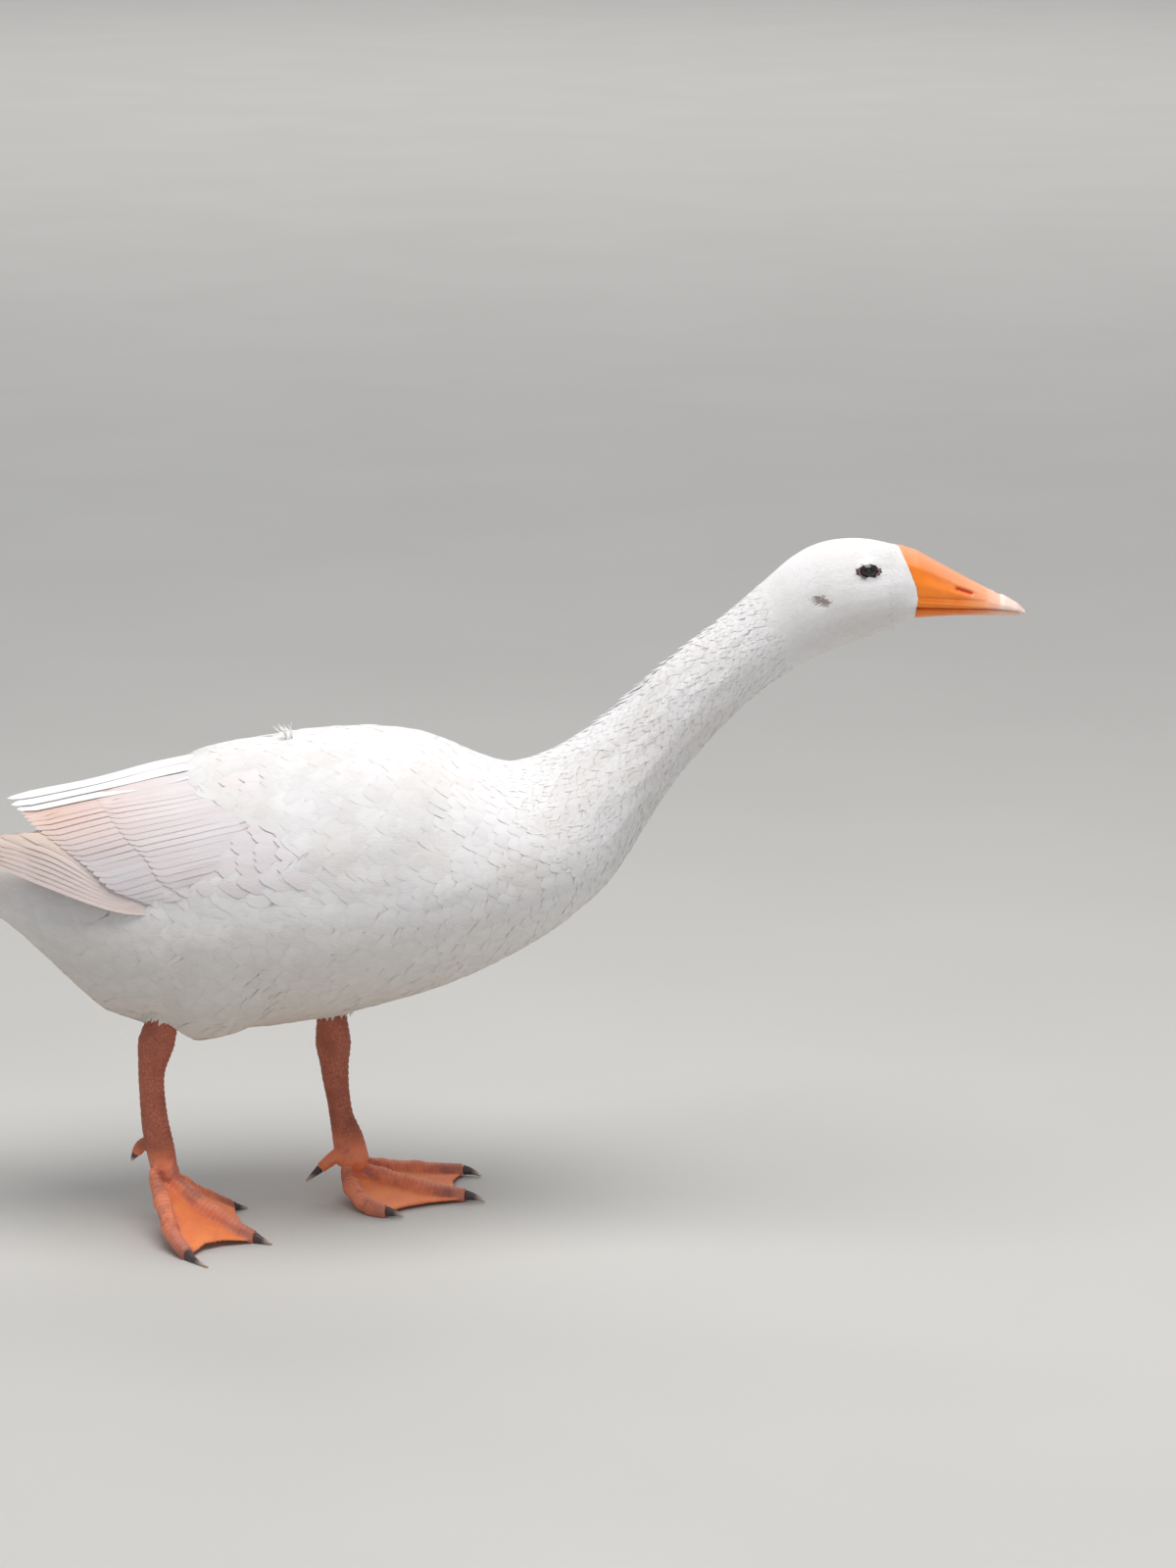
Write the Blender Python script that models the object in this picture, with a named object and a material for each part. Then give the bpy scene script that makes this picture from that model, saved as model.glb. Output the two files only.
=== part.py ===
"""A domestic goose at life size, walking, with its neck stretched forward and up.

+X runs from the tail to the bill, +Y to the goose's left, +Z up, and the floor is Z = 0.
Head, neck and trunk are one loft of egg-shaped sections along the spine, parted by thin
cuts. The folded wings lie in grooves of the trunk, each with its primaries behind it, and
the legs are swept tubes on webbed feet. Touching pieces keep a gap of GAP.
"""
import math

import bmesh
import bpy
import numpy as np

# ---------------------------------------------------------------- driving dimensions, metres
GAP = 0.0003                 # between two pieces that touch
MIDPLANE_Y = 0.0125          # the body's own middle: the box round body and feet is centred on Y 0
EGG = 0.10                   # how much fuller a body section is below its middle than above

# The spine, from the bill's root to the tail's root. Each section is square to the spine:
# name, x, z, half height, half width, lean of its top towards the tail in degrees.
BODY = [
    ("bill_root", 0.2885, 0.4230, 0.0240, 0.0172, 9),
    ("brow", 0.2770, 0.4218, 0.0284, 0.0215, 8),
    ("eye", 0.2640, 0.4205, 0.0320, 0.0248, 8),
    ("crown", 0.2510, 0.4186, 0.0337, 0.0262, 9),
    ("ear", 0.2380, 0.4150, 0.0348, 0.0265, 11),
    ("nape", 0.2245, 0.4088, 0.0338, 0.0258, 15),
    ("throat", 0.2115, 0.3990, 0.0305, 0.0243, 23),
    ("neck_high", 0.1975, 0.3880, 0.0280, 0.0232, 33),
    ("neck_upper", 0.1825, 0.3765, 0.0267, 0.0228, 42),
    ("neck_middle", 0.1660, 0.3640, 0.0272, 0.0232, 46),
    ("neck_lower", 0.1500, 0.3485, 0.0281, 0.0243, 49),
    ("neck_base", 0.1340, 0.3320, 0.0290, 0.0262, 52),
    ("neck_swell", 0.1195, 0.3175, 0.0307, 0.0288, 55),
    ("neck_foot", 0.1065, 0.3050, 0.0342, 0.0325, 57),
    ("breast_top", 0.0935, 0.2930, 0.0385, 0.0375, 58),
    ("breast_high", 0.0820, 0.2830, 0.0428, 0.0430, 57),
    ("breast", 0.0715, 0.2745, 0.0480, 0.0495, 53),
    ("breast_full", 0.0600, 0.2680, 0.0548, 0.0570, 47),
    ("shoulder_top", 0.0465, 0.2635, 0.0625, 0.0650, 41),
    ("shoulder", 0.0300, 0.2590, 0.0705, 0.0730, 34),
    ("mantle", 0.0110, 0.2545, 0.0778, 0.0805, 28),
    ("mantle_rear", -0.0110, 0.2490, 0.0838, 0.0870, 22),
    ("back_front", -0.0345, 0.2435, 0.0880, 0.0920, 17),
    ("back", -0.0630, 0.2375, 0.0910, 0.0955, 13),
    ("back_middle", -0.0950, 0.2305, 0.0930, 0.0970, 9),
    ("back_rear", -0.1285, 0.2250, 0.0930, 0.0960, 6),
    ("loin", -0.1620, 0.2195, 0.0915, 0.0925, 3),
    ("hip", -0.1960, 0.2130, 0.0840, 0.0850, 0),
    ("rump", -0.2285, 0.2068, 0.0658, 0.0690, -3),
    ("rump_rear", -0.2565, 0.2148, 0.0473, 0.0530, -7),
    ("vent", -0.2800, 0.2230, 0.0330, 0.0410, -10),
    ("tail_coverts", -0.3020, 0.2286, 0.0229, 0.0340, -5),
    ("tail_root", -0.3220, 0.2325, 0.0132, 0.0333, 0),
]
# The tail is a flat fan: x, z, half height, half width.
TAIL = [
    (-0.3220, 0.2325, 0.0130, 0.0333),
    (-0.3330, 0.2340, 0.0092, 0.0355),
    (-0.3450, 0.2350, 0.0060, 0.0370),
    (-0.3560, 0.2355, 0.0040, 0.0345),
    (-0.3625, 0.2355, 0.0028, 0.0260),
    (-0.3653, 0.2355, 0.0018, 0.0140),
]
# The hull of both folded wings behind the hip, where they leave the trunk: x, z, half
# height, half width. Ahead of it the hull is the trunk itself.
WING_REAR = [
    (-0.1960, 0.2155, 0.0885, 0.0870),
    (-0.2160, 0.2430, 0.0525, 0.0780),
    (-0.2360, 0.2600, 0.0290, 0.0670),
    (-0.2560, 0.2680, 0.0165, 0.0520),
    (-0.2760, 0.2725, 0.0090, 0.0340),
    (-0.2950, 0.2745, 0.0035, 0.0120),
]
WING_FRONT = "mantle"        # the section where the wing's front edge rounds off
WING_EDGE_LOW = 77           # degrees from the back's middle line to the wing's lower edge
WING_EDGE_HIGH = 22          # and to its upper edge, over the shoulder
WING_MEETING = "loin"        # behind this section the two wings meet over the rump
WING_PROUD = 0.0015          # the wing's edge stands this far out of the trunk
WING_DOME = 0.0020           # and its middle this much further
WING_SUNK = 0.0070           # depth of the groove that it lies in
WING_TIP_THICKNESS = 0.0030
WING_THINNING = 1.5          # above 1 the slab keeps its depth for longer before it thins
WING_ROUNDING = 2.2          # the front edge rounds off over this many sections
WING_FRONT_OPENING = 0.02    # square of the share of its height that the wing starts with

# The long flight feathers, folded into one blade: x, y, z of its middle, half of its height
# and half of its thickness, for the right side.
PRIMARIES = [
    (-0.1880, -0.0790, 0.2290, 0.0035, 0.0030),
    (-0.2050, -0.0770, 0.2320, 0.0070, 0.0030),
    (-0.2230, -0.0715, 0.2385, 0.0110, 0.0030),
    (-0.2430, -0.0645, 0.2480, 0.0150, 0.0028),
    (-0.2600, -0.0570, 0.2540, 0.0160, 0.0026),
    (-0.2770, -0.0485, 0.2570, 0.0145, 0.0024),
    (-0.2960, -0.0400, 0.2595, 0.0105, 0.0021),
    (-0.3150, -0.0300, 0.2610, 0.0080, 0.0019),
    (-0.3330, -0.0200, 0.2625, 0.0055, 0.0016),
    (-0.3450, -0.0125, 0.2635, 0.0020, 0.0012),
]
PRIMARIES_LEAN = 0.30        # the blade's top leans in over the rump by this part of its height

# The bill: x and z of the ridge, x and z of the mouth line, half width.
BILL_UPPER = [
    (0.2849, 0.4474, 0.2911, 0.4093, 0.0165),
    (0.2950, 0.4440, 0.2995, 0.4090, 0.0160),
    (0.3050, 0.4383, 0.3090, 0.4087, 0.0148),
    (0.3170, 0.4316, 0.3200, 0.4084, 0.0137),
    (0.3295, 0.4247, 0.3312, 0.4081, 0.0128),
    (0.3422, 0.4182, 0.3430, 0.4076, 0.0120),
    (0.3520, 0.4143, 0.3522, 0.4067, 0.0107),
    (0.3600, 0.4096, 0.3598, 0.4052, 0.0078),
    (0.3653, 0.4045, 0.3651, 0.4028, 0.0028),
]
# The lower mandible: x and z of its upper face, x and z of its keel, half width.
BILL_LOWER = [
    (0.2912, 0.4090, 0.2925, 0.4003, 0.0142),
    (0.3040, 0.4085, 0.3045, 0.4012, 0.0128),
    (0.3200, 0.4081, 0.3200, 0.4021, 0.0115),
    (0.3350, 0.4076, 0.3350, 0.4022, 0.0106),
    (0.3480, 0.4068, 0.3480, 0.4017, 0.0093),
    (0.3570, 0.4056, 0.3570, 0.4014, 0.0070),
    (0.3618, 0.4042, 0.3618, 0.4018, 0.0028),
]
EYE_X, EYE_Z = 0.2625, 0.4345
EYE_Y = 0.0172               # the eyeball's centre, off the head's middle
EYE_RADIUS = 0.0080
BILL_FULLNESS = 0.9          # below 1 a bill section is fuller than an ellipse near its ridge

# Legs, top to bottom: x, y, z, half depth fore and aft, half width. The right leg trails, its
# toe joint lifted; the left is set flat in front.
SHANK = {
    "right": [
        (-0.1850, -0.0520, 0.1620, 0.0100, 0.0090),
        (-0.1920, -0.0500, 0.1440, 0.0105, 0.0090),
        (-0.1968, -0.0485, 0.1290, 0.0122, 0.0092),
        (-0.1995, -0.0470, 0.1155, 0.0098, 0.0072),
        (-0.2008, -0.0450, 0.1042, 0.0086, 0.0060),
        (-0.2003, -0.0430, 0.0870, 0.0086, 0.0058),
        (-0.1987, -0.0412, 0.0690, 0.0093, 0.0063),
        (-0.1962, -0.0400, 0.0550, 0.0096, 0.0074),
        (-0.1942, -0.0393, 0.0420, 0.0090, 0.0080),
    ],
    "left": [
        (-0.0880, 0.0495, 0.1360, 0.0100, 0.0090),
        (-0.0878, 0.0480, 0.1190, 0.0104, 0.0090),
        (-0.0871, 0.0462, 0.1030, 0.0122, 0.0092),
        (-0.0864, 0.0445, 0.0900, 0.0100, 0.0072),
        (-0.0856, 0.0430, 0.0790, 0.0090, 0.0060),
        (-0.0837, 0.0410, 0.0660, 0.0081, 0.0058),
        (-0.0815, 0.0390, 0.0530, 0.0083, 0.0062),
        (-0.0776, 0.0365, 0.0400, 0.0106, 0.0076),
        (-0.0738, 0.0342, 0.0230, 0.0112, 0.0086),
    ],
}
# The feathered thighs: x, y, z, half depth fore and aft, half width.
THIGH = {
    "right": [
        (-0.1250, -0.0500, 0.2130, 0.0420, 0.0300),
        (-0.1400, -0.0580, 0.1930, 0.0460, 0.0300),
        (-0.1560, -0.0600, 0.1730, 0.0400, 0.0270),
        (-0.1700, -0.0570, 0.1570, 0.0300, 0.0220),
        (-0.1820, -0.0525, 0.1440, 0.0180, 0.0150),
    ],
    "left": [
        (-0.0960, 0.0460, 0.1980, 0.0420, 0.0300),
        (-0.0940, 0.0510, 0.1750, 0.0400, 0.0290),
        (-0.0915, 0.0520, 0.1530, 0.0310, 0.0235),
        (-0.0893, 0.0503, 0.1350, 0.0205, 0.0175),
        (-0.0880, 0.0480, 0.1200, 0.0142, 0.0132),
    ],
}
# Toes, from the joint to the claw: x, y, z, half width, half height. They stand on the floor.
TOES = {
    "right": {
        "inner": [(-0.1960, -0.0300, 0.0380, 0.0034, 0.0070), (-0.1825, -0.0245, 0.0265, 0.0056, 0.0058),
                  (-0.1720, -0.0170, 0.0175, 0.0052, 0.0052), (-0.1620, -0.0080, 0.0100, 0.0047, 0.0048),
                  (-0.1530, 0.0005, 0.0034, 0.0042, 0.0046)],
        "middle": [(-0.1990, -0.0385, 0.0390, 0.0036, 0.0080), (-0.1830, -0.0440, 0.0290, 0.0062, 0.0064),
                   (-0.1675, -0.0530, 0.0190, 0.0060, 0.0060), (-0.1500, -0.0615, 0.0102, 0.0053, 0.0054),
                   (-0.1335, -0.0690, 0.0035, 0.0046, 0.0048)],
        "outer": [(-0.2010, -0.0465, 0.0380, 0.0034, 0.0073), (-0.1950, -0.0580, 0.0285, 0.0056, 0.0060),
                  (-0.1905, -0.0715, 0.0195, 0.0054, 0.0056), (-0.1850, -0.0880, 0.0110, 0.0050, 0.0051),
                  (-0.1745, -0.1040, 0.0034, 0.0045, 0.0047)],
    },
    "left": {
        "inner": [(-0.0790, 0.0265, 0.0205, 0.0034, 0.0073), (-0.0750, 0.0140, 0.0140, 0.0056, 0.0060),
                  (-0.0685, 0.0020, 0.0086, 0.0054, 0.0055), (-0.0595, -0.0095, 0.0052, 0.0049, 0.0053),
                  (-0.0500, -0.0140, 0.0042, 0.0044, 0.0046)],
        "middle": [(-0.0790, 0.0345, 0.0210, 0.0036, 0.0080), (-0.0610, 0.0355, 0.0145, 0.0062, 0.0066),
                   (-0.0400, 0.0345, 0.0090, 0.0060, 0.0060), (-0.0180, 0.0270, 0.0053, 0.0053, 0.0055),
                   (0.0015, 0.0210, 0.0044, 0.0046, 0.0048)],
        "outer": [(-0.0780, 0.0425, 0.0205, 0.0034, 0.0074), (-0.0600, 0.0530, 0.0145, 0.0058, 0.0061),
                  (-0.0420, 0.0660, 0.0097, 0.0056, 0.0056), (-0.0210, 0.0760, 0.0053, 0.0052, 0.0054),
                  (-0.0020, 0.0785, 0.0044, 0.0046, 0.0048)],
    },
}
HIND_TOE = {
    "right": [(-0.2000, -0.0395, 0.0620, 0.0046), (-0.2085, -0.0360, 0.0560, 0.0043),
              (-0.2125, -0.0335, 0.0505, 0.0036)],
    "left": [(-0.0800, 0.0350, 0.0320, 0.0048), (-0.0895, 0.0310, 0.0255, 0.0045),
             (-0.0955, 0.0295, 0.0205, 0.0037)],
}
CLAW_TIP = {
    "right": {"inner": (-0.1425, 0.0045, 0.0012), "middle": (-0.1218, -0.0742, 0.0012),
              "outer": (-0.1600, -0.1225, 0.0012), "hind": (-0.2160, -0.0305, 0.0440)},
    "left": {"inner": (-0.0385, -0.0150, 0.0012), "middle": (0.0145, 0.0175, 0.0012),
             "outer": (0.0105, 0.0750, 0.0012), "hind": (-0.1055, 0.0280, 0.0120)},
}
CLAW_TIP_RADIUS = 0.0009
CLAW_ROOT = 0.85             # the claw's root radius, as a part of the toe's half width
CLAW_FLATNESS = 0.8          # its width over its height
CLAW_BEND = 0.5              # how far along its length it bends down
WEB_HALF_THICKNESS = 0.0009
WEB_ACROSS = (0.0, 0.33, 0.67, 1.0)     # columns of the web, from toe to toe
WEB_REACH = (0.97, 0.88, 0.88, 0.97)    # how far along the toes it comes, per column
WEB_DROP = 0.3                          # it joins the toe this many half heights low
FOOT_ROWS = (0, 0.07, 0.16, 0.28, 0.42, 0.57, 0.72, 0.85, 0.95, 1)
# Across a toe, in half widths, its rise and its flatter underside in half heights.
TOE_PROFILE = ((-1, 0, 0), (-0.7, 0.75, 0.95), (0, 1, 1), (0.7, 0.75, 0.95), (1, 0, 0))

# ---------------------------------------------------------------- how finely things are drawn
AROUND_BODY = 26
AROUND_TUBE = 12
AROUND_TAIL = 24
AROUND_THIGH = 18
AROUND_HIND_TOE = 10
AROUND_CLAW = 8
TUBE_STEPS = 2
HEAD_RINGS = 1.34            # rings per section of the head and the upper neck
WING_ROWS, WING_COLUMNS = 20, 6
BILL_ARCH = 8
EYE_SEGMENTS, EYE_RINGS = 12, 7
CLAW_ROWS = (0, 0.3, 0.65, 1)
TOE_STEP = 0.05              # the step over which a toe's direction is taken
SHARP_ANGLE = 45
GAMMA = 2.2
SIDES = {"right": -1, "left": 1}

AT = {row[0]: place for place, row in enumerate(BODY)}
SPINE = np.array([row[1:] for row in BODY])

COLOURS = {                  # sRGB, roughness
    "plumage": ((0.93, 0.91, 0.88), 0.85),
    "flight": ((0.92, 0.86, 0.81), 0.70),
    "bill": ((0.93, 0.44, 0.12), 0.45),
    "leg": ((0.80, 0.36, 0.22), 0.60),
    "foot": ((0.90, 0.42, 0.20), 0.60),
    "claw": ((0.55, 0.46, 0.40), 0.50),
    "eye": ((0.10, 0.06, 0.06), 0.10),
}


# ---------------------------------------------------------------- curves and meshes
def smooth(rows, place):
    """Rows read at a place between them, on a Catmull-Rom curve."""
    rows = np.asarray(rows, dtype=float)
    last = len(rows) - 1
    start = int(min(max(math.floor(place), 0), last - 1))
    t = place - start
    before, here = rows[max(start - 1, 0)], rows[start]
    there, after = rows[start + 1], rows[min(start + 2, last)]
    slope_here, slope_there = (there - before) / 2, (after - here) / 2
    return ((2 * t**3 - 3 * t**2 + 1) * here + (t**3 - 2 * t**2 + t) * slope_here
            + (3 * t**2 - 2 * t**3) * there + (t**3 - t**2) * slope_there)


def finer(rows, steps):
    """The rows with steps - 1 more between each two."""
    count = (len(rows) - 1) * steps
    return [smooth(rows, place / steps) for place in range(count + 1)]


def material(kind):
    """A Principled material of this kind."""
    colour, roughness = COLOURS[kind]
    made = bpy.data.materials.new(kind)
    made.use_nodes = True
    shader = made.node_tree.nodes["Principled BSDF"]
    shader.inputs["Base Color"].default_value = (*[value**GAMMA for value in colour], 1)
    shader.inputs["Roughness"].default_value = roughness
    made.diffuse_color = (*colour, 1)
    return made


def add_object(name, mesh, kind):
    """Place a mesh in the goose's collection."""
    made = bpy.data.objects.new(name, mesh)
    mesh.materials.append(material(kind))
    collections["goose"].objects.link(made)
    return made


def closed_mesh(name, points, faces):
    """A mesh from points in the body's own frame, its faces turned outwards."""
    mesh = bpy.data.meshes.new(name)
    mesh.from_pydata([(x, y + MIDPLANE_Y, z) for x, y, z in points], [], faces)
    work = bmesh.new()
    work.from_mesh(mesh)
    bmesh.ops.recalc_face_normals(work, faces=work.faces)
    bmesh.ops.triangulate(work, faces=work.faces)
    work.to_mesh(mesh)
    work.free()
    mesh.shade_smooth()
    mesh.set_sharp_from_angle(angle=math.radians(SHARP_ANGLE))
    return mesh


def loft(name, rings, kind):
    """A closed piece through rings of as many points each, its ends capped flat."""
    count = len(rings[0])
    points = [tuple(point) for ring in rings for point in ring]
    faces = []
    for row in range(len(rings) - 1):
        for step in range(count):
            here, there = row * count + step, row * count + (step + 1) % count
            faces.append((here, there, there + count, here + count))
    faces.append(tuple(range(count)))
    faces.append(tuple(range(len(points) - count, len(points))))
    return add_object(name, closed_mesh(name, points, faces), kind)


def cut(piece, tool):
    """Take the tool, swollen by the gap, away from the piece."""
    mesh = tool.data.copy()
    work = bmesh.new()
    work.from_mesh(mesh)
    work.normal_update()
    for vert, move in [(v, v.normal * v.calc_shell_factor() * GAP) for v in work.verts]:
        vert.co += move
    work.to_mesh(mesh)
    work.free()
    cutter = bpy.data.objects.new(f"cut_{tool.name}_from_{piece.name}", mesh)
    collections["cutters"].objects.link(cutter)
    cutter.hide_render = True
    cutter.display_type = "WIRE"
    difference = piece.modifiers.new("cut_" + tool.name, "BOOLEAN")
    difference.operation = "DIFFERENCE"
    difference.solver = "EXACT"
    difference.object = cutter
    depsgraph = bpy.context.evaluated_depsgraph_get()
    result = bpy.data.meshes.new_from_object(piece.evaluated_get(depsgraph))
    piece.modifiers.clear()
    piece.data = result


# ---------------------------------------------------------------- head, neck and trunk
def section_point(section, theta, lift=0.0):
    """The point of an egg-shaped section at theta from its top, lifted off its surface."""
    x, z, half_height, half_width, lean = section
    across = half_width * math.sin(theta) * (1 - EGG * math.cos(theta))
    up = half_height * math.cos(theta)
    normal = np.array([half_height * math.sin(theta), half_width * math.cos(theta)])
    normal /= np.linalg.norm(normal)
    across += lift * normal[0]
    up += lift * normal[1]
    lean = math.radians(lean)
    return np.array([x - up * math.sin(lean), across, z + up * math.cos(lean)])


def body_ring(place, back=0.0):
    """The section at a place along the spine, moved back along the spine by a distance."""
    section = smooth(SPINE, place)
    lean = math.radians(section[4])
    section[0] -= back * math.cos(lean)
    section[1] -= back * math.sin(lean)
    turns = np.arange(AROUND_BODY) * 2 * math.pi / AROUND_BODY
    return [section_point(section, theta) for theta in turns]


def body_piece(name, first, last, steps):
    """The stretch of the body between two named sections, with steps rings per section."""
    start, end = AT[first], AT[last]
    count = round((end - start) * steps)
    places = [start + (end - start) * step / count for step in range(count + 1)]
    rings = [body_ring(place) for place in places]
    rings[0] = body_ring(places[0], GAP / 2)
    rings[-1] = body_ring(places[-1], -GAP / 2)
    return loft(name, rings, "plumage")


def tail():
    """The flat fan of tail feathers behind the trunk."""
    rings = []
    turns = np.arange(AROUND_TAIL) * 2 * math.pi / AROUND_TAIL
    for x, z, half_height, half_width in TAIL:
        section = (x - GAP, z, half_height, half_width, 0)
        rings.append([section_point(section, theta) for theta in turns])
    return loft("tail", rings, "plumage")


# ---------------------------------------------------------------- wings
def wing_section(along):
    """The hull's section at a part of the wing's length, and the two edges' angles."""
    front, hip, meeting = AT[WING_FRONT], AT["hip"], AT[WING_MEETING]
    rear = len(WING_REAR) - 1
    place = front + along * (hip - front + rear)
    if place <= hip:
        section = smooth(SPINE, place)
    else:
        x, z, half_height, half_width = smooth(WING_REAR, place - hip)
        section = np.array([x, z, half_height, half_width, 0])
    rounding = min((place - front) / WING_ROUNDING, 1)
    opening = math.sqrt(max(1 - (1 - rounding) ** 2, WING_FRONT_OPENING))
    closing = min(max((place - front) / (meeting - front), 0), 1)
    high = WING_EDGE_HIGH * (1 - closing**2)
    middle = (WING_EDGE_HIGH + WING_EDGE_LOW) / 2
    low = middle + (WING_EDGE_LOW - middle) * opening
    high = middle + (high - middle) * opening
    seam = math.asin(min(2 * GAP / section[3], 0.5))
    return section, max(math.radians(high), seam), math.radians(low)


def wing(side):
    """One folded wing: coverts, secondaries and tertials as a curved slab."""
    rings = []
    for row in range(WING_ROWS + 1):
        along = row / WING_ROWS
        section, high, low = wing_section(along)
        thinner = (WING_TIP_THICKNESS - WING_PROUD - WING_SUNK) * along**WING_THINNING
        depth = WING_SUNK + thinner
        outer, inner = [], []
        for column in range(WING_COLUMNS + 1):
            across = column / WING_COLUMNS
            theta = high + (low - high) * across
            proud = WING_PROUD + WING_DOME * math.sin(math.pi * across) * (1 - along)
            outer.append(section_point(section, theta, proud))
            inner.append(section_point(section, theta, -depth))
        ring = np.array(outer + inner[::-1])
        ring[:, 1] = SIDES[side] * np.maximum(ring[:, 1], 2 * GAP)
        rings.append(ring)
    return loft("wing_" + side, rings, "plumage")


def primaries(side):
    """The folded flight feathers, one lens-shaped blade from under the wing to its tip."""
    rings = []
    for x, y, z, half_height, half_thickness in PRIMARIES:
        ring = []
        for step in range(AROUND_TUBE):
            turn = 2 * math.pi * step / AROUND_TUBE
            up = half_height * math.cos(turn)
            out = half_thickness * math.sin(turn) - PRIMARIES_LEAN * up
            ring.append((x, SIDES[side] * (-y + out), z + up))
        rings.append(ring)
    return loft("primaries_" + side, rings, "flight")


# ---------------------------------------------------------------- head details
def bill_half(name, rows, top_is_round):
    """One mandible: round on its outer side and flat where it meets the other."""
    rings = []
    for x_far, z_far, x_near, z_near, half_width in rows:
        if top_is_round:
            crest, base = np.array([x_far, 0, z_far]), np.array([x_near, 0, z_near])
        else:
            crest, base = np.array([x_near, 0, z_near]), np.array([x_far, 0, z_far])
        ring = []
        for step in range(BILL_ARCH + 1):
            turn = math.pi * step / BILL_ARCH - math.pi / 2
            centre = base + (crest - base) * math.cos(turn) ** BILL_FULLNESS
            ring.append(centre + [0, half_width * math.sin(turn), 0])
        rings.append(ring)
    return loft(name, rings, "bill")


def eye(side):
    """An eyeball; the head is cut to hold it."""
    mesh = bpy.data.meshes.new("eye_" + side)
    work = bmesh.new()
    bmesh.ops.create_uvsphere(work, u_segments=EYE_SEGMENTS, v_segments=EYE_RINGS, radius=EYE_RADIUS)
    place = (EYE_X, MIDPLANE_Y + SIDES[side] * EYE_Y, EYE_Z)
    bmesh.ops.translate(work, verts=work.verts, vec=place)
    work.to_mesh(mesh)
    work.free()
    mesh.shade_smooth()
    return add_object("eye_" + side, mesh, "eye")


# ---------------------------------------------------------------- legs and feet
def swept_rings(rows, count=AROUND_TUBE):
    """Rings of ellipses square to a path: x, y, z, half depth along X, half width along Y."""
    rows = np.array(rows)
    tangents = np.gradient(rows[:, :3], axis=0)
    rings = []
    for row, tangent in zip(rows, tangents):
        tangent = tangent / np.linalg.norm(tangent)
        fore = np.cross((0.0, 1.0, 0.0), tangent)
        fore /= np.linalg.norm(fore)
        beside = np.cross(tangent, fore)
        turns = np.arange(count) * 2 * math.pi / count
        rings.append([row[:3] + fore * row[3] * math.cos(turn) + beside * row[4] * math.sin(turn)
                      for turn in turns])
    return rings


def shank(side):
    """The bare leg from inside the thigh, over the hock, down to the toe joint."""
    return loft("shank_" + side, swept_rings(finer(SHANK[side], TUBE_STEPS)), "leg")


def thigh(side):
    """The feathered thigh, a pear hanging from the flank over the hock."""
    rows = finer(THIGH[side], TUBE_STEPS)
    return loft("thigh_" + side, swept_rings(rows, AROUND_THIGH), "plumage")


def hind_toe(side):
    """The small raised toe behind the leg."""
    rows = [(x, y, z, radius, radius) for x, y, z, radius in HIND_TOE[side]]
    return loft("hind_toe_" + side, swept_rings(finer(rows, TUBE_STEPS), AROUND_HIND_TOE), "foot")


def toe_frame(path, along):
    """A toe's centre, half width, half height and direction at a part of its length."""
    place = along * (len(path) - 1)
    x, y, z, half_width, half_height = smooth(path, place)
    ahead = smooth(path, min(place + TOE_STEP, len(path) - 1))
    behind = smooth(path, max(place - TOE_STEP, 0))
    tangent = (ahead - behind)[:2]
    tangent /= np.linalg.norm(tangent)
    return np.array([x, y, z]), half_width, half_height, tangent


def toe_edge(side, path, along, sign):
    """The point on a toe's flank where the web meets it."""
    centre, half_width, half_height, tangent = toe_frame(path, along)
    beside = SIDES[side] * np.array([-tangent[1], tangent[0], 0])
    return centre + sign * beside * half_width - [0, 0, WEB_DROP * half_height]


def foot_section(side, along):
    """One row across the foot: its upper points and its lower points, inner to outer toe."""
    paths = list(TOES[side].values())
    upper, lower = [], []
    for number, path in enumerate(paths):
        centre, half_width, half_height, tangent = toe_frame(path, along)
        beside = SIDES[side] * np.array([-tangent[1], tangent[0], 0])
        for offset, rise, drop in TOE_PROFILE:
            free = (number == 0 and offset == -1) or (number == 2 and offset == 1)
            if rise or free:
                point = centre + beside * offset * half_width
                upper.append(point + [0, 0, rise * half_height])
                lower.append(point - [0, 0, drop * half_height])
        if number < 2:
            for part, reach in zip(WEB_ACROSS, WEB_REACH):
                near = toe_edge(side, path, along * reach, 1)
                far = toe_edge(side, paths[number + 1], along * reach, -1)
                point = near + (far - near) * part
                upper.append(point + [0, 0, WEB_HALF_THICKNESS])
                lower.append(point - [0, 0, WEB_HALF_THICKNESS])
    return upper, lower


def foot(side):
    """Three toes and the web between them, flat on the floor where they reach it."""
    rings = []
    for along in FOOT_ROWS:
        upper, lower = foot_section(side, along)
        ring = np.array(upper + lower[-2:0:-1])
        ring[:, 2] = np.maximum(ring[:, 2], 0)
        rings.append(ring)
    count, half = len(rings[0]), len(upper)
    points = [tuple(point) for ring in rings for point in ring]
    faces = []
    for row in range(len(rings) - 1):
        for step in range(count):
            here, there = row * count + step, row * count + (step + 1) % count
            faces.append((here, there, there + count, here + count))
    for base in (0, len(points) - count):
        for step in range(half - 1):
            below = (count - step) % count
            faces.append(tuple(dict.fromkeys(
                (base + step, base + step + 1, base + (count - step - 1) % count, base + below))))
    return add_object("foot_" + side, closed_mesh("foot_" + side, points, faces), "foot")


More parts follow.
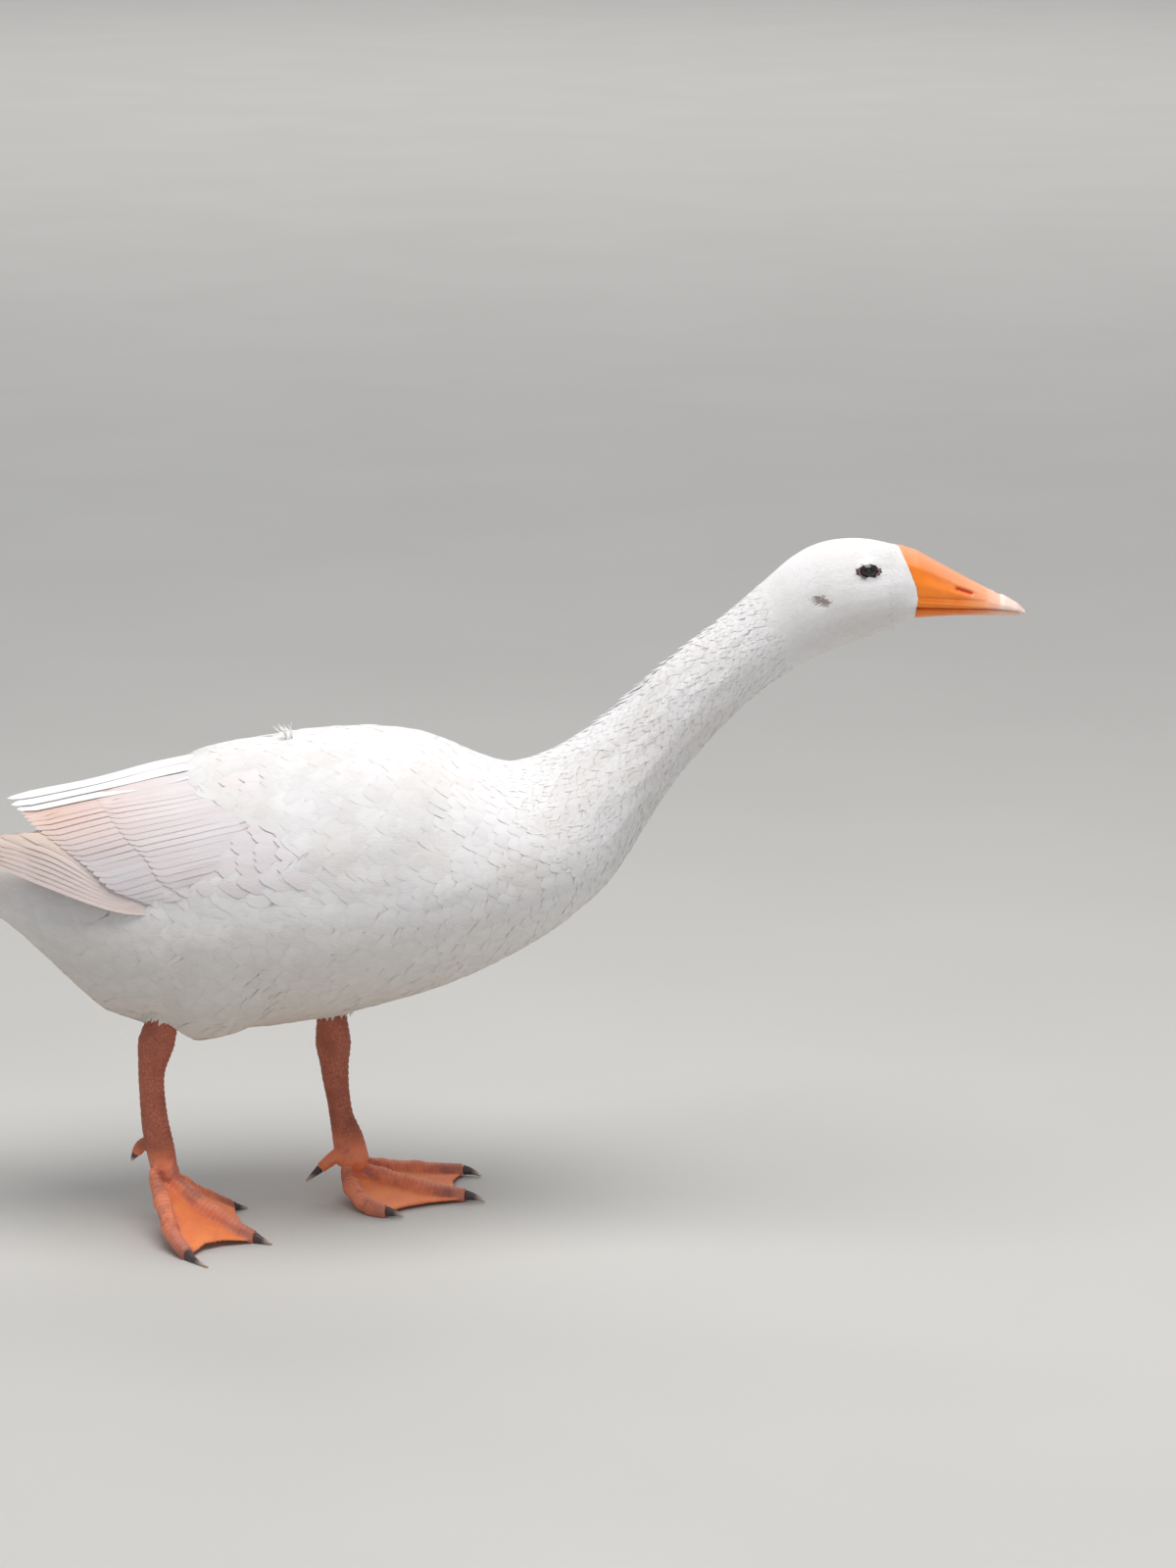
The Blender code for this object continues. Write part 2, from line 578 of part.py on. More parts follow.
def claw(side, toe):
    """A short hooked cone that carries its toe's line on and bends to its tip."""
    path = HIND_TOE[side] if toe == "hind" else TOES[side][toe]
    root, before = np.array(path[-1]), np.array(path[-2])
    start, tip = root[:3], np.array(CLAW_TIP[side][toe])
    ahead = (root - before)[:3]
    knee = start + ahead / np.linalg.norm(ahead) * np.linalg.norm(tip - start) * CLAW_BEND
    rows = []
    for part in CLAW_ROWS:
        point = start * (1 - part) ** 2 + knee * 2 * part * (1 - part) + tip * part**2
        radius = root[3] * CLAW_ROOT * (1 - part) + CLAW_TIP_RADIUS * part
        rows.append((*point, radius, radius * CLAW_FLATNESS))
    rings = np.array(swept_rings(rows, AROUND_CLAW))
    rings[:, :, 2] = np.maximum(rings[:, :, 2], 0)
    return loft(f"claw_{toe}_{side}", rings, "claw")


# ---------------------------------------------------------------- the goose
for old in list(bpy.data.objects):
    bpy.data.objects.remove(old)
collections = {}
for collection_name in ("goose", "cutters"):
    collections[collection_name] = bpy.data.collections.new(collection_name)
    bpy.context.scene.collection.children.link(collections[collection_name])

head = body_piece("head", "bill_root", "throat", HEAD_RINGS)
body_piece("neck_upper", "throat", "neck_middle", HEAD_RINGS)
body_piece("neck_lower", "neck_middle", "breast", 1)
trunk = body_piece("trunk", "breast", "tail_root", 1)
tail()
bill_half("bill_upper", BILL_UPPER, top_is_round=True)
bill_half("bill_lower", BILL_LOWER, top_is_round=False)

for side_name in SIDES:
    cut(head, eye(side_name))
    leg = shank(side_name)
    cut(leg, trunk)
    haunch = thigh(side_name)
    cut(haunch, trunk)
    cut(haunch, leg)
    webbed = foot(side_name)
    spur = hind_toe(side_name)
    for toe_name in ("inner", "middle", "outer"):
        cut(claw(side_name, toe_name), webbed)
    cut(claw(side_name, "hind"), spur)
    cut(webbed, leg)
    cut(spur, leg)
    blade = primaries(side_name)
    folded = wing(side_name)
    cut(blade, trunk)
    cut(blade, folded)
    cut(trunk, folded)
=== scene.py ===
# %% [markdown]
# # A white goose, feather by feather
# The real thing is a white domestic goose, walking with its neck stretched forward. A packed
# solid model already holds its true size and outline. This script dresses that solid: one
# skin, then the feathers in their tracts, the bill, the eyes and the bare feet.

# %% The solid model and its box
import math

import bmesh
import bpy
import numpy as np
from mathutils import Matrix, Vector
from mathutils.bvhtree import BVHTree


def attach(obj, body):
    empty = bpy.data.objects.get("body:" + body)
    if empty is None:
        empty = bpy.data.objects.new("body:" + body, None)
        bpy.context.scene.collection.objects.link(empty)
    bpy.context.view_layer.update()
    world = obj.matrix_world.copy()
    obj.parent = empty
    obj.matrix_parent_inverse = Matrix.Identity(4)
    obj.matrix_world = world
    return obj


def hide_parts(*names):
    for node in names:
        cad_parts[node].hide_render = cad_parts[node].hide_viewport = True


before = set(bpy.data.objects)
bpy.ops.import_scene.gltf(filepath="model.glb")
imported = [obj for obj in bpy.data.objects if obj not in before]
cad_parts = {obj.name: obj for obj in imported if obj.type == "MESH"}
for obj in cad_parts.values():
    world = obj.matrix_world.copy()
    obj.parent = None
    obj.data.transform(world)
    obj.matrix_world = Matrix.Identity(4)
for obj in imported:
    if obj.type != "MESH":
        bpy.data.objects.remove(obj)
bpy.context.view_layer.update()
MIDDLE = 0.0125            # the bird's own middle plane stands at this Y
SIDES = {"right": 1, "left": -1}     # a side's sign: the right side lies towards -Y
rng = np.random.default_rng(11)

# %% [markdown]
# ## Camera, light and floor
# A museum photographer would put the bird on pale paper under one large soft lamp overhead,
# with a weak fill from the front, so that the back is bright and the belly falls into shade.
# A far and very large lamp hangs over the paper behind the bird, because paper that runs on
# to the horizon would otherwise fade into grey.

# %% Camera
CAMERA_PLACE = (0.083, MIDDLE - 3.2, 1.0)
CAMERA_DROP = 12.51        # degrees that it looks down
CAMERA_LENS = 115.65       # mm
scene = bpy.context.scene
camera = bpy.data.objects.new("camera", bpy.data.cameras.new("camera"))
scene.collection.objects.link(camera)
camera.location = CAMERA_PLACE
camera.rotation_euler = (math.radians(90 - CAMERA_DROP), 0, 0)
camera.data.lens = CAMERA_LENS
camera.data.clip_start, camera.data.clip_end = 0.1, 50
scene.camera = camera
scene.view_settings.view_transform = "Standard"
print("camera at", np.round(camera.location, 2).tolist(), "with a lens of", CAMERA_LENS, "mm")

# %% Lamps and sky
def lamp(name, place, aim, size, power, colour):
    """A round soft lamp, size metres across, that stands at place and looks at aim."""
    light = bpy.data.lights.new(name, "AREA")
    light.shape, light.size = "DISK", size
    light.energy, light.color = power, colour
    stand = bpy.data.objects.new(name, light)
    stand.location = place
    stand.rotation_euler = (Vector(aim) - Vector(place)).to_track_quat("-Z", "Y").to_euler()
    scene.collection.objects.link(stand)


lamp("sky_panel", (0.20, -0.50, 2.4), (-0.02, 0, 0.25), 1.8, 50, (1.0, 0.985, 0.965))
lamp("front_fill", (0.6, -3.0, 0.9), (0, 0, 0.2), 1.6, 5, (0.96, 0.97, 1.0))
lamp("far_panel", (0, 9.0, 6.0), (0, 9.0, 0), 10.0, 420, (1.0, 0.99, 0.97))
world = bpy.data.worlds.new("studio")
scene.world = world
world.use_nodes = True
sky = world.node_tree.nodes["Background"]
sky.inputs["Color"].default_value = (0.92, 0.95, 1.0, 1)
sky.inputs["Strength"].default_value = 0.34

# %% [markdown]
# ## Materials from nodes
# Every finish is a Principled shader. Its colour and bump come from noise, from places on
# the object and from values written on the mesh's points, so no image is needed and nothing
# stretches. A few helpers keep the trees short.

# %% Helpers for node trees
class Finish:
    """A Principled material with short ways to add the nodes that this bird needs."""

    def __init__(self, name, roughness, **sockets):
        self.material = bpy.data.materials.new(name)
        self.material.use_nodes = True
        self.nodes, self.links = self.material.node_tree.nodes, self.material.node_tree.links
        self.shader = self.nodes["Principled BSDF"]
        self.shader.inputs["Roughness"].default_value = roughness
        for socket, value in sockets.items():
            self.shader.inputs[socket.replace("_", " ")].default_value = value
        self.place = self.nodes.new("ShaderNodeTexCoord").outputs["Object"]

    def put(self, socket, source):
        """Joins a socket to another one, or sets it to a plain value."""
        if isinstance(source, bpy.types.NodeSocket):
            self.links.new(source, socket)
        else:
            socket.default_value = source

    def noise(self, scale, detail=2.0, stretch=None):
        """Soft noise around 0.5 on the object's own coordinates."""
        node = self.nodes.new("ShaderNodeTexNoise")
        node.inputs["Scale"].default_value = scale
        node.inputs["Detail"].default_value = detail
        self.links.new(self.stretched(stretch) if stretch else self.place, node.inputs["Vector"])
        return node.outputs["Fac"]

    def stretched(self, stretch):
        """The place on the object, each axis multiplied by its own number."""
        node = self.nodes.new("ShaderNodeMapping")
        node.inputs["Scale"].default_value = stretch
        self.links.new(self.place, node.inputs["Vector"])
        return node.outputs["Vector"]

    def scales(self, per_metre, joint):
        """0 on the joints between many-sided scales, and 1 on the scales."""
        node = self.nodes.new("ShaderNodeTexVoronoi")
        node.feature = "DISTANCE_TO_EDGE"
        node.inputs["Scale"].default_value = per_metre
        self.links.new(self.place, node.inputs["Vector"])
        return self.between(node.outputs["Distance"], 0.0, joint)

    def between(self, value, low, high):
        """How far a value has come from low to high, as a share from 0 to 1."""
        node = self.nodes.new("ShaderNodeMapRange")
        for socket, source in zip(node.inputs[:3], (value, low, high)):
            self.put(socket, source)
        return node.outputs["Result"]

    def mix(self, share, first, second, kind="MIX"):
        """The first colour, giving way to the second by share."""
        node = self.nodes.new("ShaderNodeMix")
        node.data_type, node.blend_type = "RGBA", kind
        self.put(node.inputs[0], share)
        for socket, colour in zip(node.inputs[6:8], (first, second)):
            self.put(socket, colour if isinstance(colour, bpy.types.NodeSocket) else (*colour, 1))
        return node.outputs[2]

    def maths(self, kind, a, b):
        """Two values joined by one of the Math node's operations."""
        node = self.nodes.new("ShaderNodeMath")
        node.operation = kind
        self.put(node.inputs[0], a)
        self.put(node.inputs[1], b)
        return node.outputs[0]

    def times(self, a, b):
        """Two values multiplied."""
        return self.maths("MULTIPLY", a, b)

    def attribute(self, name):
        """A value written on the mesh's points."""
        node = self.nodes.new("ShaderNodeAttribute")
        node.attribute_name = name
        return node.outputs["Fac"]

    def axis(self, letter):
        """The place on the object along X, Y or Z, in metres."""
        node = self.nodes.new("ShaderNodeSeparateXYZ")
        self.links.new(self.place, node.inputs[0])
        return node.outputs[letter]

    def colour(self, source):
        """Sets what the surface is coloured by."""
        self.put(self.shader.inputs["Base Color"], source)

    def bump(self, height, distance, strength):
        """Lets a height, in metres once multiplied by distance, change how the light falls."""
        node = self.nodes.new("ShaderNodeBump")
        node.inputs["Distance"].default_value = distance
        node.inputs["Strength"].default_value = strength
        self.links.new(height, node.inputs["Height"])
        self.links.new(node.outputs["Normal"], self.shader.inputs["Normal"])


print("finishes can be made from noise, scales and places")

# %% Feather white
SMUDGE = (0.30, 0.25, 0.24)    # the colour of feathers whose tone is far below 0
REAR_CORNER = {"X": (-0.185, -0.262), "Z": (0.246, 0.276)}
PAINTED_BELLY_SHADE_HEIGHTS = (0.235, 0.125)        # between these heights the belly's painted warm shade grows


def plumage(name, light, dark, warm, roughness=0.72, rear=None):
    """Feather white: each feather's own tone, painted warm shade low on the belly and fine barbs.

    rear tints the upper rear corner of the folded wing."""
    finish = Finish(name, roughness, Specular_IOR_Level=0.25, Subsurface_Weight=0.10, Subsurface_Scale=0.003)
    finish.shader.inputs["Subsurface Radius"].default_value = (1.0, 0.8, 0.7)
    tone = finish.mix(finish.attribute("tone"), dark, light)
    tone = finish.mix(finish.between(finish.attribute("tone"), 0.1, -0.9), tone, SMUDGE)
    if rear:
        behind, above = (finish.between(finish.axis(axis), *ends) for axis, ends in REAR_CORNER.items())
        tone = finish.mix(finish.times(behind, above), tone, rear, "MULTIPLY")
    patchy = finish.times(finish.between(finish.noise(22, 3), 0.42, 0.68), 0.22)
    # painted shade: the feathers turn towards the warm colour low on the belly
    low = finish.times(finish.between(finish.axis("Z"), *PAINTED_BELLY_SHADE_HEIGHTS), 0.95)
    finish.colour(finish.mix(finish.maths("MAXIMUM", patchy, low), tone, warm))
    finish.bump(finish.noise(900, 2, (0.25, 1, 1)), 0.0004, 0.35)
    return finish.material


WHITE = plumage("white_plumage", (0.93, 0.915, 0.915), (0.85, 0.83, 0.83), (0.64, 0.57, 0.485))
paper = Finish("pale_paper", 0.9)
paper.colour(paper.mix(paper.between(paper.noise(3), 0.35, 0.65), (0.555, 0.545, 0.525), (0.57, 0.56, 0.54)))
paper.bump(paper.noise(180, 4), 0.0008, 0.2)
print("materials", len(bpy.data.materials))

# %% The floor
FLOOR_REACH = 24               # metres from the floor's middle to its edge
floor_mesh = bmesh.new()
bmesh.ops.create_grid(floor_mesh, x_segments=1, y_segments=1, size=FLOOR_REACH)
floor = bpy.data.objects.new("floor", bpy.data.meshes.new("floor"))
floor_mesh.to_mesh(floor.data)
floor_mesh.free()
scene.collection.objects.link(floor)
floor.data.materials.append(paper.material)
print("floor", 2 * FLOOR_REACH, "metres across")

# %% [markdown]
# ## Reading the bird's surface
# Feathers need to know where the surface is and which way it runs. So a line is drawn inside
# the body, and rays are shot at the solid from all round it. That gives a smooth grid with
# two directions: along the bird, from bill to tail, and around it, from the back's middle
# over its right side. A feather is then laid by those two shares, like a place on a map.

# %% Smooth lines
CURVE_STEPS = 24               # steps of a curve between two of its points


def smooth_line(points, count, measured):
    """A Catmull-Rom curve through the points, evenly spaced over the first measured columns."""
    p = np.asarray(points, float)
    p = np.vstack([2 * p[0] - p[1], p, 2 * p[-1] - p[-2]])
    t = np.linspace(0, 1, CURVE_STEPS, endpoint=False)[:, None]
    parts = [
        0.5 * (2 * b + (c - a) * t + (2 * a - 5 * b + 4 * c - d) * t**2 + (3 * b - a - 3 * c + d) * t**3)
        for a, b, c, d in zip(p, p[1:], p[2:], p[3:])
    ]
    fine = np.vstack([*parts, p[-2:-1]])
    run = np.r_[0, np.cumsum(np.linalg.norm(np.diff(fine[:, :measured], axis=0), axis=1))]
    even = np.linspace(0, run[-1], count)
    return np.stack([np.interp(even, run, column) for column in fine.T], 1)


print("lines are smoothed with", CURVE_STEPS, "steps from point to point")

# %% Rays and grids of radii
def search_tree(names):
    """The named solids as one tree for rays."""
    bm = bmesh.new()
    for name in names:
        bm.from_mesh(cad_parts[name].data)
    tree = BVHTree.FromBMesh(bm)
    bm.free()
    return tree


def unit(v):
    """Vectors brought to a length of 1."""
    return v / np.maximum(np.linalg.norm(v, axis=-1, keepdims=True), 1e-12)


def filled(radius):
    """Gaps in a grid of radii take their neighbours' values, first around and then along."""
    for i, row in enumerate(radius):
        good = np.flatnonzero(~np.isnan(row))
        if len(good):
            turn = np.r_[good - len(row), good, good + len(row)]
            radius[i] = np.interp(np.arange(len(row)), turn, np.tile(row[good], 3))
    rows = np.flatnonzero(~np.isnan(radius[:, 0]))
    for j in range(radius.shape[1]):
        radius[:, j] = np.interp(np.arange(len(radius)), rows, radius[rows, j])
    return radius


def blurred(radius, times):
    """A grid of radii with its small bumps smoothed out, both around and along."""
    for _ in range(times):
        radius = (np.roll(radius, 1, 1) + 2 * radius + np.roll(radius, -1, 1)) / 4
        ends = np.vstack([radius[:1], radius, radius[-1:]])
        radius = (ends[:-2] + 2 * radius + ends[2:]) / 4
    return radius


gap = np.array([[1.0, 3.0], [np.nan, np.nan], [2.0, 4.0]])
print("a gap in a grid takes", filled(gap)[1].tolist(), "from the rows beside it")

# %% The shell: a grid of points with its directions
class Shell:
    """A smooth surface round a line, read off the solid model by rays from outside."""

    def __init__(self, centre, up, side, around):
        self.centre, self.around = centre, around
        turn = 2 * math.pi * np.arange(around) / around
        self.way = np.cos(turn)[None, :, None] * up[:, None] + np.sin(turn)[None, :, None] * side[:, None]

    def cast(self, names, reach, whole=True):
        """Radii by rays. With whole, a row that is only partly hit takes its neighbour's."""
        tree = search_tree(names)
        radius = np.full(self.way.shape[:2], np.nan)
        for i, c in enumerate(self.centre):
            for j, way in enumerate(self.way[i]):
                hit = tree.ray_cast(Vector(c + way * reach), Vector(-way), reach)
                if hit[0] is not None:
                    radius[i, j] = reach - hit[3]
            if whole and np.isnan(radius[i]).any():
                radius[i] = np.nan
        return filled(radius)

    def set(self, radius):
        """Takes the radii, and works out points, normals and the metres that each share spans."""
        self.radius = radius
        self.co = self.centre[:, None] + self.way * radius[..., None]
        along = np.gradient(self.co, axis=0) * (len(self.co) - 1)
        around = (np.roll(self.co, -1, 1) - np.roll(self.co, 1, 1)) / 2 * self.around
        self.normal = unit(np.cross(around, along))
        self.normal *= np.sign((self.normal * self.way).sum(-1).mean())
        self.along = np.linalg.norm(along, axis=-1)
        self.across = np.linalg.norm(around, axis=-1)

    def read(self, grid, u, v):
        """A grid's value between its points, at shares u along and v around."""
        r = np.clip(u, 0, 1) * (len(self.co) - 1)
        c = np.mod(v, 1) * self.around
        i = np.minimum(r.astype(int), len(self.co) - 2)
        j = c.astype(int) % self.around
        fr, fc = r - i, c - np.floor(c)
        if grid.ndim == 3:
            fr, fc = fr[..., None], fc[..., None]
        k = (j + 1) % self.around
        return ((grid[i, j] * (1 - fr) + grid[i + 1, j] * fr) * (1 - fc)
                + (grid[i, k] * (1 - fr) + grid[i + 1, k] * fr) * fc)

    def find(self, points):
        """The shares (u, v) of the grid points nearest to some places in the frame."""
        flat = self.co.reshape(-1, 3)
        best = [np.argmin(((flat - p) ** 2).sum(1)) for p in np.asarray(points, float)]
        i, j = np.unravel_index(best, self.co.shape[:2])
        return np.stack([i / (len(self.co) - 1), j / self.around], 1)


def spine_shell(stations, rows, around):
    """A shell round a line in the middle plane. Stations are x, z and the lean of a section."""
    line = smooth_line(stations, rows, 2)
    lean = np.radians(line[:, 2])
    centre = np.stack([line[:, 0], np.full(rows, MIDDLE), line[:, 1]], 1)
    up = np.stack([-np.sin(lean), np.zeros(rows), np.cos(lean)], 1)
    return Shell(centre, up, np.tile((0.0, -1.0, 0.0), (rows, 1)), around)


print("a shell can", [name for name in vars(Shell) if name[0] != "_"])

# %% The whole bird's shell
SPINE = [                       # x, z and lean in degrees, from the forehead to the tail
    (0.3000, 0.4240, 9), (0.2885, 0.4230, 9), (0.2640, 0.4205, 8), (0.2380, 0.4150, 11),
    (0.2115, 0.3990, 23), (0.1825, 0.3765, 42), (0.1500, 0.3485, 49), (0.1195, 0.3175, 55),
    (0.0935, 0.2930, 58), (0.0715, 0.2745, 53), (0.0465, 0.2635, 41), (0.0110, 0.2545, 28),
    (-0.0345, 0.2435, 17), (-0.0950, 0.2305, 9), (-0.1620, 0.2195, 3), (-0.2285, 0.2110, -3),
    (-0.2800, 0.2230, -10), (-0.3220, 0.2325, 0), (-0.3620, 0.2355, 0),
]
BODY_ROWS, BODY_AROUND = 260, 128
RAY_REACH = 0.16               # rays start this far from the line
RUMP_X = (-0.190, -0.225)      # between these the wings leave the body
BODY_NODES = ("head", "neck_upper", "neck_lower", "trunk", "tail", "thigh_right", "thigh_left",
              "eye_right", "eye_left", "bill_upper", "bill_lower")
body = spine_shell(SPINE, BODY_ROWS, BODY_AROUND)
with_wings = body.cast((*BODY_NODES, "wing_right", "wing_left"), RAY_REACH)
bare = body.cast(BODY_NODES, RAY_REACH)
leaving = np.clip((body.centre[:, 0] - RUMP_X[0]) / (RUMP_X[1] - RUMP_X[0]), 0, 1)[:, None]
body.set(blurred(with_wings * (1 - leaving) + bare * leaving, 2))
widest = 2 * float(body.radius[:, BODY_AROUND // 4].max())
print("body shell", body.co.shape[:2], "widest", round(widest, 3))

# %% [markdown]
# ## The head's form
# Under its feathers a goose's head isn't an egg: the eye lies in a shallow hollow below a
# low brow, and the cheek behind the bill is full. The shell is pushed in and out by a few
# soft round dents, each given by its place, its width and its depth. The feathers of the
# neck and the trunk lie in soft clumps, so smooth random hills are added there as well.

# %% Dents and swellings of the head
EYE = (0.2625, 0.4345)          # x and z
SHAPING = [                     # x, z, radius, how far out (mm)
    (*EYE, 0.0080, -1.0),                # the eye's hollow
    (0.2610, 0.4425, 0.0070, 0.8),       # brow
    (0.2760, 0.4360, 0.0080, -0.9),      # the lore, between eye and bill
    (0.2700, 0.4150, 0.0130, 0.7),       # cheek
    (0.2330, 0.4180, 0.0060, -0.8),      # ear opening
]


def shaped(shell):
    """The shell's radii with the sides of the head moved out and in by SHAPING."""
    x, z = shell.co[..., 0], shell.co[..., 2]
    side = np.abs(shell.normal[..., 1])
    push = np.zeros_like(x)
    for at_x, at_z, size, out in SHAPING:
        far = ((x - at_x) ** 2 + (z - at_z) ** 2) / size**2
        push += out / 1000 * np.exp(-far)
    return shell.radius + push * np.clip(side * 1.6 - 0.4, 0, 1)


body.set(shaped(body))
print("head shaped with", len(SHAPING), "soft dents")

# %% Soft clumps of feathers
CLUMP_SHARES = (0, 0.14, 0.2, 0.35, 0.5, 0.8, 1)
CLUMP_HEIGHTS = (0, 0, 0.5, 0.7, 0.5, 0.8, 0.4)      # mm, none on the head


def soft_noise(shape, along, around, seed):
    """Smooth random hills on a closed grid, about 1 high, wider by more rounds of blurring."""
    hills = np.random.default_rng(seed).normal(0, 1, shape)
    for _ in range(along):
        ends = np.vstack([hills[:1], hills, hills[-1:]])
        hills = (ends[:-2] + 2 * ends[1:-1] + ends[2:]) / 4
    for _ in range(around):
        hills = (np.roll(hills, 1, 1) + 2 * hills + np.roll(hills, -1, 1)) / 4
    return hills / hills.std()


clumps = np.interp(np.linspace(0, 1, BODY_ROWS), CLUMP_SHARES, CLUMP_HEIGHTS)[:, None] / 1000
small_hills = soft_noise(body.radius.shape, 14, 3, 4)
wide_hills = soft_noise(body.radius.shape, 60, 16, 5)
body.set(body.radius + clumps * (small_hills + wide_hills) / 2)
print("clumps up to", max(CLUMP_HEIGHTS), "mm high")

# %% [markdown]
# ## One skin
# The skin under the feathers is one closed surface: the body's shell pulled in by the depth
# of the coat. A flat grid is wrapped round the body, sewn along its long edges, and closed
# at both ends, so it keeps its own flat plan (UV) for the colours.

# %% A grid wrapped into a closed skin
def new_piece(name, mesh, material):
    """A piece of the bird: an object that rides on the body, in its slot for materials."""
    piece = bpy.data.objects.new(name, mesh)
    scene.collection.objects.link(piece)
    if not mesh.materials:
        mesh.materials.append(material)
    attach(piece, "root")
    return piece


def wrapped(name, rows, around, place):
    """A grid placed by place(u, v), with its seam sewn and its ends closed."""
    bm = bmesh.new()
    bmesh.ops.create_grid(bm, x_segments=around, y_segments=rows, size=0.5)
    flat = np.array([v.co[:2] for v in bm.verts]) + 0.5
    plan = bm.loops.layers.uv.new("OFBake")
    for face in bm.faces:
        for loop in face.loops:
            loop[plan].uv = loop.vert.co.xy + Vector((0.5, 0.5))
    for vert, p in zip(bm.verts, place(flat[:, 1], flat[:, 0])):
        vert.co = p
    bmesh.ops.remove_doubles(bm, verts=bm.verts, dist=1e-6)
    bmesh.ops.holes_fill(bm, edges=[e for e in bm.edges if e.is_boundary], sides=0)
    bmesh.ops.recalc_face_normals(bm, faces=bm.faces)
    mesh = bpy.data.meshes.new(name)
    bm.to_mesh(mesh)
    bm.free()
    mesh.shade_smooth()
    return mesh


print("a wrapped grid carries its own flat plan, OFBake")

# %% The skin inside the coat
COAT_SHARES = (0.0, 0.012, 0.022, 0.10, 0.30, 0.42, 0.60, 0.92, 1.0)
COAT_DEPTHS = (0.0050, 0.0035, 0.0011, 0.0008, 0.0009, 0.0010, 0.0012, 0.0012, 0.0010)
SOCKET = (0.0085, 0.0068, 0.0045)        # half width, half height and depth of the eye's hole


def skin_place(u, v):
    """The skin's points: under the shell by the coat's depth, and deeper behind the eyes."""
    place = body.read(body.co, u, v)
    socket = np.hypot((place[:, 0] - EYE[0]) / SOCKET[0], (place[:, 2] - EYE[1]) / SOCKET[1])
    depth = np.interp(u, COAT_SHARES, COAT_DEPTHS) + SOCKET[2] * np.exp(-socket**6)
    return place - body.read(body.normal, u, v) * depth[:, None]


skin_finish = Finish("skin_under_feathers", 0.7)
skin_finish.colour(skin_finish.mix(skin_finish.noise(40), (0.86, 0.84, 0.80), (0.80, 0.76, 0.71)))
skin = new_piece("skin", wrapped("skin", 240, 96, skin_place), skin_finish.material)
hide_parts("head", "neck_upper", "neck_lower", "trunk", "thigh_right", "thigh_left")
print("skin", len(skin.data.polygons), "faces")

# %% [markdown]
# ## One feather, repeated
# A body feather is a thin blade, rounded or pointed at its tip. It could be drawn on a card
# with a cut-out, but a solid blade keeps its edge in any light, so it is made once from two
# small grids sewn at the edge. Thousands of copies are then laid like roof tiles: the root
# goes under the feathers in front, and the tip lies over those behind.

# %% A feather's blade
def blade(along, across, narrow_root, blunt, ragged=0.0, point=0.30):
    """Points as (share along, share across, height) and faces of a thin closed blade.

    narrow_root and blunt are shares of the full width at the root and at the tip, point is
    how far the sides of the tip fall back, and ragged is how deep the tip is notched."""
    bm = bmesh.new()
    bmesh.ops.create_grid(bm, x_segments=across, y_segments=along, size=1)
    top = set(bm.verts)
    under = bmesh.ops.duplicate(bm, geom=list(bm.verts) + list(bm.edges) + list(bm.faces))
    bmesh.ops.reverse_faces(bm, faces=[f for f in under["geom"] if isinstance(f, bmesh.types.BMFace)])
    for vert in bm.verts:
        b, a = vert.co.x, (vert.co.y + 1) / 2
        inside = abs(b) < 0.999 and 0.001 < a < 0.999
        tip = max(0, a - 0.5) / 0.5
        notch = ragged * tip * (0.5 + 0.5 * math.cos(math.pi * across * (b + 1) / 2))
        reach = a - point * tip * b * b - notch
        width = narrow_root + (1 - narrow_root) * min(1, a / 0.45) ** 0.8
        width *= math.sqrt(max(0, 1 - max(0, (reach - 0.5) / 0.5) ** 2 * (1 - blunt**2)))
        height = (0.5 if vert in top else -0.5) if inside else 0
        vert.co = (reach, b * width, height * (1 - 0.5 * b * b))
    bmesh.ops.remove_doubles(bm, verts=bm.verts, dist=1e-5)
    bmesh.ops.recalc_face_normals(bm, faces=bm.faces)
    bm.verts.index_update()
    points = np.array([v.co[:] for v in bm.verts])
    faces = np.array([[v.index for v in f.verts] for f in bm.faces])
    bm.free()
    return points, faces


HEAD_BLADE = blade(2, 2, 0.75, 0.55)
NECK_BLADE = blade(3, 2, 0.7, 0.35)
TRUNK_BLADE = blade(5, 4, 0.65, 0.5)
print("faces of a head, neck and trunk feather", [len(b[1]) for b in (HEAD_BLADE, NECK_BLADE, TRUNK_BLADE)])

# %% Many copies as one mesh
SHARP = math.radians(35)       # steeper edges than this aren't smoothed away


def joined(name, points, faces, uv, tone, material):
    """All copies as one mesh, with the flat plan OFBake and each feather's tone."""
    count, verts = points.shape[:2]
    faces = (faces[None] + (np.arange(count) * verts)[:, None, None]).reshape(-1, faces.shape[1])
    mesh = bpy.data.meshes.new(name)
    mesh.vertices.add(count * verts)
    mesh.vertices.foreach_set("co", points.reshape(-1).astype(np.float32))
    mesh.loops.add(faces.size)
    mesh.loops.foreach_set("vertex_index", faces.ravel().astype(np.int32))
    mesh.polygons.add(len(faces))
    mesh.polygons.foreach_set("loop_start", np.arange(0, faces.size, faces.shape[1], dtype=np.int32))
    mesh.update(calc_edges=True)
    plan = mesh.uv_layers.new(name="OFBake")
    plan.data.foreach_set("uv", uv.reshape(-1, 2)[faces.ravel()].ravel().astype(np.float32))
    mesh.attributes.new("tone", "FLOAT", "POINT").data.foreach_set(
        "value", np.broadcast_to(tone, (count, verts)).ravel().astype(np.float32))
    mesh.shade_smooth()
    mesh.set_sharp_from_angle(angle=SHARP)
    piece = new_piece(name, mesh, material)
    print(name, count, "feathers,", 2 * len(faces), "triangles")
    return piece


PATCH = 0.003                  # the side of one feather's patch on the flat plan


def patches(shape, spots):
    """Each feather's own small patch on the flat plan, at its root's spot there."""
    points = shape[0]
    flat = np.stack([points[:, 0], points[:, 1] / 2], 1) - (0.5, 0)
    return spots[:, None] + flat[None] * PATCH


print("a feather's patch on the flat plan is", PATCH, "wide")

